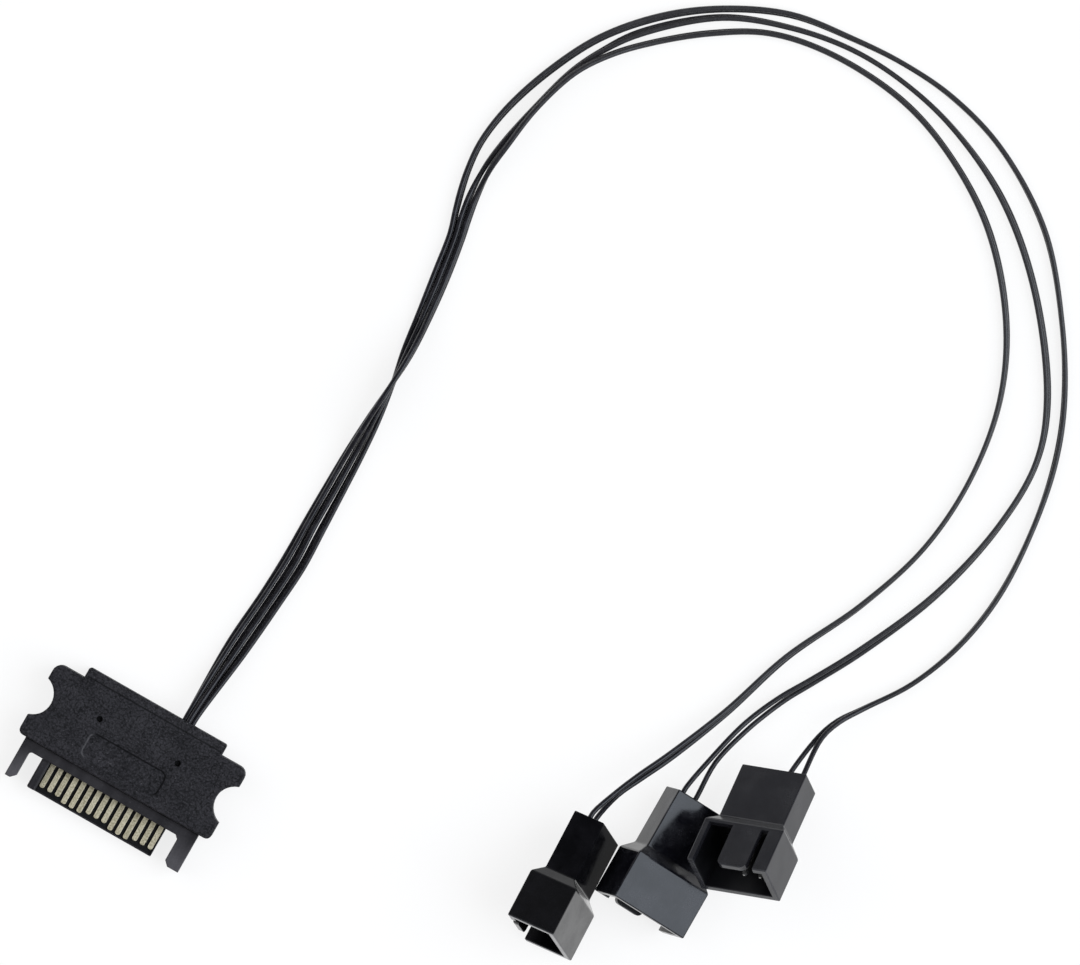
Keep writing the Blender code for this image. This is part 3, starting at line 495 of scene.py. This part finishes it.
def plainResult(maker, name):
    # The maker's evaluated shape as a plain mesh object, with the maker removed
    bpy.context.view_layer.update()
    graph = bpy.context.evaluated_depsgraph_get()
    evaluated = maker.evaluated_get(graph)
    mesh = bpy.data.meshes.new_from_object(evaluated, preserve_all_data_layers=True, depsgraph=graph)
    mesh.name = name
    piece = bpy.data.objects.new(name, mesh)
    bpy.context.scene.collection.objects.link(piece)
    bpy.data.objects.remove(maker)
    return piece


def runTree(name, mesh, tree, settings):
    maker = bpy.data.objects.new(name + "Maker", mesh)
    bpy.context.scene.collection.objects.link(maker)
    modifier = maker.modifiers.new("make", "NODES")
    modifier.node_group = tree
    for key, value in settings.items():
        modifier[key] = value
    return plainResult(maker, name)


def makeWire(name, line, tree, names, material):
    mesh = bpy.data.meshes.new(name + "Path")
    mesh.from_pydata([point * mm for point in line], [(i, i + 1) for i in range(len(line) - 1)], [])
    settings = {
        names["diameter"]: wire["diameter"] * mm,
        names["sides"]: wire["sides"],
        names["material"]: material,
    }
    return runTree(name, mesh, tree, settings)


def makeLeads():
    material = insulationMaterial()
    tree, names = wireTree()
    made = []
    for number, (lead, pose) in enumerate(zip(leads, fanPlug["poses"]), start=1):
        matrix = fanMatrix(pose)
        stations = leadStations(lead["route"])
        for node, contact, blockPlace, pairSide, way, wayIn, lean in lead["wires"]:
            points = chamberPoints(contact, blockPlace, wayIn)
            points += [middle + across * (pairSide * wire["pairPitch"] / 2) for middle, across in stations]
            points += [matrix @ place for place in fanEntry(way, lean)]
            line = smoothLine(points, wire["step"])
            piece = makeWire("insulation_" + node, line, tree, names, material)
            exitX, exitZ = wireExit(blockPlace)
            made.append({
                "piece": piece,
                "node": node,
                "lead": number,
                "way": way,
                "line": [point * mm for point in line],
                "exit": (exitX * mm, plug["rear"] * mm, exitZ * mm),
            })
    return made


cords = makeLeads()
print("leads made:", len(cords), "wires")


# Power plug shells: grained charcoal plastic with fine sparkle, and moulded lines on the cover darkened as
# painted shade, with a painted highlight along the panel's lit left side
shellPlastic = {
    "veinAndShade": (0.0008, 0.0008, 0.0012),
    "dark": (0.0042, 0.0041, 0.0056),
    "light": (0.0300, 0.0292, 0.0350),
    "sparkAndHighlight": (0.1100, 0.1100, 0.1200),
    "hole": (0.0005, 0.0005, 0.0007),
    "grain": 0.30,                     # this and all below in millimetres
    "pitGrain": 0.42,
    "cloudGrain": 4.0,
    "curlGrain": 0.62,
    "sparkGrain": 0.26,
    "depth": 0.040,
    "panelMiddle": (-0.25, -0.05),     # the sunk panel's outline
    "panelHalf": (6.15, 1.85),
    "panelRadius": 0.90,
    "panelLine": 0.16,
    "stripAt": 8.36,
    "stripHalf": 11.10,
    "stripLine": 0.15,
    "pinholes": ((-6.40, 3.90), (6.40, 3.90)),
    "pinholeRadius": 0.47,
}


def roundedBoxDistance(recipe, x, y, middle, half, radius):
    # Distance to a rounded rectangle's outline, below zero inside it
    across = abs(x - middle[0]) - (half[0] - radius)
    upwards = abs(y - middle[1]) - (half[1] - radius)
    outAcross = recipe.maths("MAXIMUM", across, 0.0)
    outUpwards = recipe.maths("MAXIMUM", upwards, 0.0)
    outside = (outAcross * outAcross + outUpwards * outUpwards) ** 0.5
    inside = recipe.maths("MINIMUM", recipe.maths("MAXIMUM", across, upwards), 0.0)
    return outside + inside - radius


def stroke(recipe, distance, width):
    # 1 on the line, 0 away from it
    return recipe.fall(abs(distance), width * 0.35, width)


def shellMaterial():
    recipe = Recipe("grainedShellPlastic", {"IOR": 1.40})
    where = recipe.place()
    x, y, z = recipe.axes(recipe.vector("MULTIPLY", where, (1000.0, 1000.0, 1000.0)))
    onTop = recipe.rise(z / 10.0, 0.560, 0.575)
    middleX, middleY = shellPlastic["panelMiddle"]
    panel = roundedBoxDistance(recipe, x, y, shellPlastic["panelMiddle"], shellPlastic["panelHalf"],
                               shellPlastic["panelRadius"])
    panelLine = stroke(recipe, panel, shellPlastic["panelLine"]) * onTop
    # painted shade on the panel's outline where it faces away from the light; the strip's line is a painted
    # shadow in a groove
    shadedSide = recipe.rise((x - middleX) * 0.16 + (y - middleY) * 0.55 + 0.5, 0.30, 0.60)
    stripEnd = shellPlastic["stripHalf"] / 20.0
    inStrip = recipe.fall(abs(x) / 20.0, stripEnd - 0.01, stripEnd)
    stripLine = stroke(recipe, y - shellPlastic["stripAt"], shellPlastic["stripLine"]) * inStrip * onTop
    # painted shade: the pinholes are painted near black
    holes = None
    for holeX, holeY in shellPlastic["pinholes"]:
        far = ((x - holeX) * (x - holeX) + (y - holeY) * (y - holeY)) ** 0.5
        one = recipe.fall(far, shellPlastic["pinholeRadius"] - 0.04, shellPlastic["pinholeRadius"])
        holes = one if holes is None else recipe.maths("MAXIMUM", holes, one)
    grain = recipe.noise(where, shellPlastic["grain"], 3.0, 0.65)
    pits = recipe.cells(where, shellPlastic["pitGrain"])
    cloud = recipe.noise(where, shellPlastic["cloudGrain"])
    curls = abs(recipe.noise(where, shellPlastic["curlGrain"], 1.5) - 0.5)
    veins = recipe.fall(curls, 0.010, 0.050)
    tone = recipe.rise(grain * 0.75 + cloud * 0.25, 0.38, 0.66)
    sparkle = recipe.rise(recipe.noise(where, shellPlastic["sparkGrain"], 1.0), 0.68, 0.77)
    body = recipe.mix(tone, shellPlastic["dark"], shellPlastic["light"])
    grained = recipe.mix(veins * 0.85, body, shellPlastic["veinAndShade"])
    sparkling = recipe.mix(sparkle * 0.35, grained, shellPlastic["sparkAndHighlight"])
    shadedLines = recipe.maths("MAXIMUM", panelLine * shadedSide, stripLine)
    withShadedLines = recipe.mix(shadedLines * 0.9, sparkling, shellPlastic["veinAndShade"])
    # painted highlight on the panel's outline at its lit left end
    leftEnd = recipe.rise(x * -0.1, 0.545, 0.600)
    lit = recipe.mix(panelLine * (1.0 - shadedSide) * leftEnd * 0.40, withShadedLines, shellPlastic["sparkAndHighlight"])
    colour = recipe.mix(holes, lit, shellPlastic["hole"])
    roughness = 0.52 + 0.16 * tone - 0.16 * sparkle
    relief = recipe.bump(grain * 0.6 + pits * 0.4 - veins * 0.5 - shadedLines * 1.2, shellPlastic["depth"], 0.9)
    return recipe.finish(Base_Color=colour, Roughness=roughness, Normal=relief)


# Contact carrier: smoother moulded plastic with faint flow marks, painted shade that is black between the
# contacts, and painted light towards the arm tips
carrierPlastic = {
    "bed": (0.0015, 0.0015, 0.0020),
    "dark": (0.0085, 0.0080, 0.0100),
    "light": (0.0210, 0.0200, 0.0235),
    "armTipLight": (0.0620, 0.0600, 0.0680),
    "fleck": (0.060, 0.058, 0.066),
    "flowGrain": 1.8,                  # this and all below in millimetres
    "fineGrain": 0.20,
    "fleckGrain": 0.26,
    "depth": 0.014,
    "bedTop": 2.90,                    # above the floor
    "rearRim": (-3.94, -3.78),         # the apron's rear rim lies between these
    "rimShift": 0.27,                  # and is drawn back by this much, up to the shells
}


def carrierMaterial():
    recipe = Recipe("mouldedCarrierPlastic", {"IOR": 1.42})
    where = recipe.place()
    x, y, z = recipe.axes(where)
    onArm = recipe.rise(abs(x) * 50.0, 0.540, 0.580)
    towardsTip = recipe.rise(y * -100.0, 0.460, 0.860) * onArm
    bedTop = carrierPlastic["bedTop"] / 10
    low = recipe.fall(z * 100.0, bedTop - 0.008, bedTop)
    lengthways = recipe.vector("MULTIPLY", where, (1.0, 0.25, 1.0))
    flow = recipe.noise(lengthways, carrierPlastic["flowGrain"], 3.0, 0.55)
    fine = recipe.noise(where, carrierPlastic["fineGrain"])
    fleck = recipe.rise(recipe.noise(where, carrierPlastic["fleckGrain"], 1.0), 0.68, 0.76)
    tone = recipe.rise(flow * 0.7 + fine * 0.3, 0.36, 0.64)
    plain = recipe.mix(tone, carrierPlastic["dark"], carrierPlastic["light"])
    # painted light: the arms are painted paler towards their tips, where the light falls on them
    wornAndLit = recipe.mix(towardsTip * (0.65 + 0.5 * tone), plain, carrierPlastic["armTipLight"])
    flecked = recipe.mix(fleck * 0.35, wornAndLit, carrierPlastic["fleck"])
    # painted shade: below the bed's top the plastic is painted near black between the contacts
    colour = recipe.mix(low * 0.9, flecked, carrierPlastic["bed"])
    roughness = 0.42 + 0.16 * fine
    relief = recipe.bump(fine * 0.6 + flow * 0.4, carrierPlastic["depth"], 0.7)
    return recipe.finish(Base_Color=colour, Roughness=roughness, Normal=relief)


def makeCarrier(material):
    # The carrier's own shape, with the apron's rear rim drawn back so that no light shows before the shells
    mesh = nodes["contact_carrier"].data.copy()
    mesh.name = "carrierWithApron"
    front, rear = carrierPlastic["rearRim"]
    for vertex in mesh.vertices:
        if front < vertex.co.y / mm < rear:
            vertex.co.y += carrierPlastic["rimShift"] * mm
    mesh.materials.clear()
    mesh.materials.append(material)
    piece = bpy.data.objects.new("carrierWithApron", mesh)
    bpy.context.scene.collection.objects.link(piece)
    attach(piece, "root")
    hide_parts("contact_carrier")


# Fan plug plastic: near-black gloss with mould ripple, hairline scratches and dull finger marks, painted
# shade inside the hollow and a painted highlight on the mouth rim.
# Each plug's colours are set lighter or darker as painted light and shade, and each has its own shine; the
# first one's body is dull and only its shroud is polished.
glossPlastic = {
    "polished": 0.12,
    "handled": 0.30,
    "coatRoughness": 0.14,
    # painted light and shade: the same plastic is given a lighter or darker colour on each plug
    "plugs": (
        {"dark": (0.0030, 0.0030, 0.0036), "light": (0.0085, 0.0085, 0.0105),
         "index": 1.05, "ripple": 0.10},
        {"dark": (0.0035, 0.0036, 0.0055), "light": (0.0270, 0.0280, 0.0350),
         "index": 1.50, "ripple": 0.45},
        {"dark": (0.0105, 0.0107, 0.0135), "light": (0.0175, 0.0178, 0.0215),
         "index": 1.50, "ripple": 0.25},
    ),
    "inside": (0.0015, 0.0015, 0.0020),
    "rimHighlight": (0.0480, 0.0490, 0.0550),
    "rippleGrain": 6.0,                # this and all below in millimetres
    "smearGrain": 3.2,
    "hairGrain": 0.10,
    "speckGrain": 0.24,
    "depth": 0.004,
    "shroudStart": 10.7,               # from the rear face
    "mouth": 18.05,
    "hollowHalf": (5.42, 2.87),        # from the middle line
}


def glossMaterial(number):
    look = glossPlastic["plugs"][number - 1]
    recipe = Recipe("glossFanPlugPlastic%d" % number, {"IOR": look["index"]})
    where = recipe.place()
    matrix = fanMatrix(fanPlug["poses"][number - 1])
    fromRear = recipe.vector("SUBTRACT", where, tuple(matrix.translation * mm))
    local = []
    for way in ((1.0, 0.0, 0.0), (0.0, 1.0, 0.0), (0.0, 0.0, -1.0)):
        axis = tuple((matrix.to_3x3() @ Vector(way)).normalized())
        local.append(recipe.vector("DOT_PRODUCT", fromRear, axis, "Value") * 50.0)
    across, thick, along = local       # as shares of 20 mm
    halfAcross, halfThick = [half / 20 for half in glossPlastic["hollowHalf"]]
    start = glossPlastic["shroudStart"] / 20
    mouth = glossPlastic["mouth"] / 20
    within = recipe.fall(abs(across), halfAcross, halfAcross + 0.005)
    within = within * recipe.fall(abs(thick), halfThick, halfThick + 0.005)
    hollow = within * recipe.rise(along, start - 0.01, start - 0.005)
    rimHighlight = recipe.rise(along, mouth - 0.012, mouth - 0.004)
    ripple = recipe.noise(where, glossPlastic["rippleGrain"], 1.0)
    smear = recipe.rise(recipe.noise(where, glossPlastic["smearGrain"], 4.0, 0.6), 0.42, 0.74)
    hair = recipe.noise(recipe.vector("MULTIPLY", where, (1.0, 0.05, 0.35)), glossPlastic["hairGrain"], 1.0)
    scratch = recipe.rise(hair, 0.70, 0.74)
    speck = recipe.rise(recipe.noise(where, glossPlastic["speckGrain"]), 0.66, 0.76)
    skin = recipe.mix(smear * 0.6 + scratch * 0.3 + speck * 0.4, look["dark"], look["light"])
    # painted shade: the inside of the hollow is painted near black
    shadedInside = recipe.mix(hollow * 0.9, skin, glossPlastic["inside"])
    # painted highlight: the mouth rim is painted paler
    colour = recipe.mix(rimHighlight * (0.45 + smear * 0.35), shadedInside, glossPlastic["rimHighlight"])
    spread = glossPlastic["handled"] - glossPlastic["polished"]
    roughness = glossPlastic["polished"] + spread * smear + 0.05 * scratch + 0.25 * hollow
    wave = recipe.bump(ripple, look["ripple"], 0.6)
    fine = recipe.bump(smear * 0.3 + scratch * 0.4 + speck * 0.3, glossPlastic["depth"], 0.5, wave)
    if number > 1:
        return recipe.finish(Base_Color=colour, Roughness=roughness, Normal=fine)
    polish = recipe.rise(along, start - 0.085, start - 0.065) * (1.0 - smear * 0.25)
    recipe.shader.inputs["Coat Roughness"].default_value = glossPlastic["coatRoughness"]
    return recipe.finish(Base_Color=colour, Roughness=roughness, Normal=fine, Coat_Weight=polish)


# Contacts: pale khaki gold, satin, with painted highlights on their rims and a slightly different shade each
gilt = {
    "dull": (0.25, 0.225, 0.145),
    "bright": (0.72, 0.67, 0.52),
    "speckleGrain": 0.26,              # millimetres
    "drawnGrain": 0.09,
    "depth": 0.010,
}
contacts = {
    "count": plug["contactCount"],
    "perGroup": 3,                     # groups of three are short and long by turns
    "pitch": plug["contactPitch"],
    "width": 0.75,
    "thickness": 0.25,
    "crown": 0.05,
    "endRadius": 0.28,
    "endSteps": 5,
    "shortLength": 9.21,
    "longLength": 9.68,
    "tailEnd": plug["tailEnd"],
    "low": 2.90,
    "seed": 7,
}


def giltMaterial():
    recipe = Recipe("satinGoldContact", {"Metallic": 0.30, "IOR": 1.5})
    where = recipe.place()
    across = abs(recipe.attribute("acrossContact", "Fac"))
    shade = recipe.attribute("contactShade", "Fac")
    speckle = recipe.noise(where, gilt["speckleGrain"], 3.0, 0.65)
    drawn = recipe.noise(recipe.vector("MULTIPLY", where, (1.0, 0.04, 1.0)), gilt["drawnGrain"], 1.0)
    # painted highlight: the contacts are painted brighter towards their long edges
    rimHighlight = recipe.rise(across, 0.62, 0.86)
    tone = recipe.rise(speckle, 0.38, 0.64)
    amount = tone * 0.50 + rimHighlight * 0.28 + shade * 0.20
    colour = recipe.mix(amount, gilt["dull"], gilt["bright"])
    roughness = 0.34 + 0.18 * speckle
    relief = recipe.bump(speckle * 0.6 + drawn * 0.6, gilt["depth"], 0.7)
    return recipe.finish(Base_Color=colour, Roughness=roughness, Normal=relief)


def contactTree():
    # A row of strips with rounded front ends, each with its own shade
    tree = bpy.data.node_groups.new("contactRow", "GeometryNodeTree")
    names = {"count": addInput(tree, "Contacts", "NodeSocketInt", contacts["count"])}
    names["perGroup"] = addInput(tree, "Per Group", "NodeSocketInt", contacts["perGroup"])
    for key in ("pitch", "width", "thickness", "crown", "endRadius",
                "shortLength", "longLength", "tailEnd", "low"):
        names[key] = addInput(tree, key, "NodeSocketFloat", contacts[key] * mm)
    names["seed"] = addInput(tree, "Seed", "NodeSocketInt", contacts["seed"])
    names["material"] = addInput(tree, "Gold", "NodeSocketMaterial")
    tree.interface.new_socket("Row", in_out="OUTPUT", socket_type="NodeSocketGeometry")
    given = tree.nodes.new("NodeGroupInput").outputs
    position = step(tree, "GeometryNodeInputPosition")
    places = step(tree, "ShaderNodeSeparateXYZ", None, {0: position}).node.outputs
    halfWidth = reckon(tree, "DIVIDE", given["width"], 2.0)
    strips = []
    for key in ("shortLength", "longLength"):
        outline = step(tree, "GeometryNodeCurvePrimitiveQuadrilateral", {"mode": "RECTANGLE"},
                       {"Width": given["width"], "Height": given[key]})
        rounded = step(tree, "GeometryNodeFilletCurve", {"mode": "POLY"},
                       {"Curve": outline, "Count": contacts["endSteps"], "Radius": given["endRadius"],
                        "Limit Radius": True})
        face = step(tree, "GeometryNodeFillCurve", {"mode": "NGONS"}, {"Curve": rounded})
        side = reckon(tree, "SUBTRACT", given["thickness"], given["crown"])
        body = step(tree, "GeometryNodeExtrudeMesh", None, {"Mesh": face, "Offset Scale": side}).node.outputs
        crowned = {"Mesh": body["Mesh"], "Selection": body["Top"], "Offset Scale": given["crown"]}
        crown = step(tree, "GeometryNodeExtrudeMesh", None, crowned).node.outputs
        shape = crown["Mesh"]
        for axis, size in (((1.0, 0.0, 0.0), given["width"]), ((0.0, 1.0, 0.0), given[key])):
            inner = reckon(tree, "SUBTRACT", size, reckon(tree, "MULTIPLY", given["crown"], 2.0))
            shape = step(tree, "GeometryNodeScaleElements", {"domain": "FACE", "scale_mode": "SINGLE_AXIS"},
                         {"Geometry": shape, "Selection": crown["Top"], "Axis": axis,
                          "Scale": reckon(tree, "DIVIDE", inner, size)})
        under = step(tree, "GeometryNodeFlipFaces", None, {"Mesh": face})
        joined = tree.nodes.new("GeometryNodeJoinGeometry")
        tree.links.new(shape, joined.inputs[0])
        tree.links.new(under, joined.inputs[0])
        closed = step(tree, "GeometryNodeMergeByDistance", None,
                      {"Geometry": joined.outputs[0], "Distance": 0.001 * mm})
        across = reckon(tree, "DIVIDE", places["X"], halfWidth)
        marked = store(tree, "FLOAT", closed, "acrossContact", across)
        back = step(tree, "ShaderNodeCombineXYZ", None, {"Y": reckon(tree, "DIVIDE", given[key], -2.0)})
        strips.append(step(tree, "GeometryNodeTransform", None, {"Geometry": marked, "Translation": back}))
    gaps = reckon(tree, "SUBTRACT", given["Contacts"], 1.0)
    first = reckon(tree, "MULTIPLY", reckon(tree, "MULTIPLY", gaps, given["pitch"]), -0.5)
    start = step(tree, "ShaderNodeCombineXYZ", None, {"X": first, "Y": given["tailEnd"], "Z": given["low"]})
    pace = step(tree, "ShaderNodeCombineXYZ", None, {"X": given["pitch"]})
    row = step(tree, "GeometryNodeMeshLine", {"mode": "OFFSET"},
               {"Count": given["Contacts"], "Start Location": start, "Offset": pace})
    index = step(tree, "GeometryNodeInputIndex")
    group = reckon(tree, "FLOOR", reckon(tree, "DIVIDE", index, given["Per Group"]))
    isLong = reckon(tree, "MODULO", group, 2.0)
    isShort = reckon(tree, "SUBTRACT", 1.0, isLong)
    every = tree.nodes.new("GeometryNodeJoinGeometry")
    for chosen, strip in ((isShort, strips[0]), (isLong, strips[1])):
        laid = step(tree, "GeometryNodeInstanceOnPoints", None,
                    {"Points": row, "Selection": chosen, "Instance": strip})
        tree.links.new(laid, every.inputs[0])
    chance = tree.nodes.new("FunctionNodeRandomValue")
    chance.data_type = "FLOAT"
    tree.links.new(given["Seed"], chance.inputs["Seed"])
    shaded = store(tree, "FLOAT", every.outputs[0], "contactShade", chance.outputs[1], "INSTANCE")
    endTree(tree, shaded, given["Gold"])
    return tree, names


def makeContacts(material):
    tree, names = contactTree()
    settings = {}
    for key, identifier in names.items():
        if key in ("count", "perGroup", "seed"):
            settings[identifier] = contacts[key]
        elif key == "material":
            settings[identifier] = material
        else:
            settings[identifier] = contacts[key] * mm
    row = runTree("contactRow", bpy.data.meshes.new("contactRowStart"), tree, settings)
    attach(row, "root")
    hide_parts(*["contact_%02d" % number for number in range(1, contacts["count"] + 1)])
    print("contact row:", len(row.data.polygons), "faces")


# Fan plug pins: bright tin with a faint drawn grain
tin = {
    "dull": (0.26, 0.26, 0.26),
    "bright": (0.46, 0.46, 0.45),
    "cloudGrain": 0.8,                 # millimetres
    "fineGrain": 0.12,
    "depth": 0.004,
}


def tinMaterial():
    recipe = Recipe("tinnedPin", {"Metallic": 1.0})
    where = recipe.place()
    cloud = recipe.noise(where, tin["cloudGrain"], 3.0, 0.6)
    fine = recipe.noise(where, tin["fineGrain"], 1.0)
    colour = recipe.mix(cloud, tin["dull"], tin["bright"])
    roughness = 0.42 + 0.16 * cloud
    relief = recipe.bump(fine, tin["depth"], 0.5)
    return recipe.finish(Base_Color=colour, Roughness=roughness, Normal=relief)


def dress(name, material):
    mesh = nodes[name].data
    mesh.materials.clear()
    mesh.materials.append(material)


def dressEverything():
    shell = shellMaterial()
    for name in ("plug_base", "plug_cover"):
        dress(name, shell)
    makeCarrier(carrierMaterial())
    makeContacts(giltMaterial())
    pinMetal = tinMaterial()
    for lead in (1, 2, 3):
        dress("fan_housing_%d" % lead, glossMaterial(lead))
        for way in (1, 2):
            dress("fan_%d_pin_%d" % (lead, way), pinMetal)


dressEverything()
print("materials given")


# Floor and lights: a white table, one large softbox on the right and gentle fill
studio = {
    "floorSize": 6.0,
    "floorColour": (0.86, 0.86, 0.87, 1.0),
    "floorRoughness": 0.7,
    "floorSpecular": 0.2,
    "floorGlow": 0.80,
    "horizon": ((0.00, 0.55), (0.10, 0.34), (0.45, 0.10), (1.00, 0.07)),
    "horizonBlue": 1.02,
    "lamps": (
        {"name": "rightSoftbox", "place": (1.00, -0.20, 1.00), "size": (1.20, 1.20), "power": 12.0,
         "colour": (0.82, 0.90, 1.00), "mirrored": True},
        {"name": "rightFill", "place": (1.00, -0.20, 1.20), "size": (1.60, 1.60), "power": 14.0,
         "colour": (1.00, 1.00, 1.00), "mirrored": False},
        {"name": "leftFill", "place": (-1.20, 0.60, 1.30), "size": (1.60, 1.60), "power": 15.0,
         "colour": (1.00, 1.00, 1.00), "mirrored": False},
        {"name": "topFill", "place": (0.00, 0.00, 2.20), "size": (2.20, 2.20), "power": 17.0,
         "colour": (1.00, 1.00, 1.00), "mirrored": False},
    ),
}


def makeFloor():
    half = studio["floorSize"] / 2
    corners = [(-half, -half, 0.0), (half, -half, 0.0), (half, half, 0.0), (-half, half, 0.0)]
    mesh = bpy.data.meshes.new("whiteTable")
    mesh.from_pydata(corners, [], [(0, 1, 2, 3)])
    floor = bpy.data.objects.new("whiteTable", mesh)
    bpy.context.scene.collection.objects.link(floor)
    recipe = Recipe("whiteTable", {
        "Base Color": studio["floorColour"],
        "Roughness": studio["floorRoughness"],
        "Specular IOR Level": studio["floorSpecular"],
    })
    straight = recipe.node("ShaderNodeLightPath", output="Is Camera Ray")
    mirrored = recipe.node("ShaderNodeLightPath", output="Is Glossy Ray")
    through = recipe.node("ShaderNodeLightPath", output="Is Transmission Ray")
    seen = recipe.maths("MINIMUM", straight + mirrored + through, 1.0)
    glow = recipe.node("ShaderNodeEmission", None, {"Color": (1.0, 1.0, 1.0, 1.0), "Strength": 1.0})
    blend = recipe.tree.nodes.new("ShaderNodeMixShader")
    recipe.tree.links.new((seen * studio["floorGlow"]).socket, blend.inputs[0])
    recipe.tree.links.new(recipe.shader.outputs[0], blend.inputs[1])
    recipe.tree.links.new(glow.socket, blend.inputs[2])
    recipe.tree.links.new(blend.outputs[0], recipe.tree.nodes["Material Output"].inputs["Surface"])
    mesh.materials.append(recipe.material)


def makeLamps():
    target = fromPicture(0.0, 0.0, 0.0)
    for lamp in studio["lamps"]:
        data = bpy.data.lights.new(lamp["name"], "AREA")
        data.shape = "RECTANGLE"
        data.size, data.size_y = lamp["size"]
        data.energy = lamp["power"]
        data.color = lamp["colour"]
        made = bpy.data.objects.new(lamp["name"], data)
        made.location = fromPicture(*lamp["place"])
        made.rotation_euler = (target - made.location).to_track_quat("-Z", "Y").to_euler()
        made.visible_camera = False
        made.visible_glossy = lamp["mirrored"]
        bpy.context.scene.collection.objects.link(made)


def makeWorld():
    world = bpy.data.worlds.new("softRoom")
    world.use_nodes = True
    bpy.context.scene.world = world
    tree = world.node_tree
    background = tree.nodes["Background"]
    where = tree.nodes.new("ShaderNodeTexCoord")
    apart = tree.nodes.new("ShaderNodeSeparateXYZ")
    ramp = tree.nodes.new("ShaderNodeValToRGB")
    fillRamp(ramp.color_ramp, studio["horizon"], studio["horizonBlue"])
    tree.links.new(where.outputs["Generated"], apart.inputs[0])
    tree.links.new(apart.outputs["Z"], ramp.inputs["Fac"])
    tree.links.new(ramp.outputs["Color"], background.inputs["Color"])
    background.inputs["Strength"].default_value = 1.0


makeFloor()
makeLamps()
makeWorld()
bpy.context.scene.view_settings.view_transform = "Standard"
print("studio ready")


def lineLength(line):
    return sum((b - a).length for a, b in zip(line, line[1:]))


def declareCords():
    for cord in cords:
        piece = cord["piece"]
        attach(piece, "root")
        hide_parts(cord["node"])
        carried = [
            nodes["fan_housing_%d" % cord["lead"]],
            nodes["fan_%d_pin_%d" % (cord["lead"], cord["way"])],
        ]
        round(lineLength(cord["line"]), 4)


declareCords()
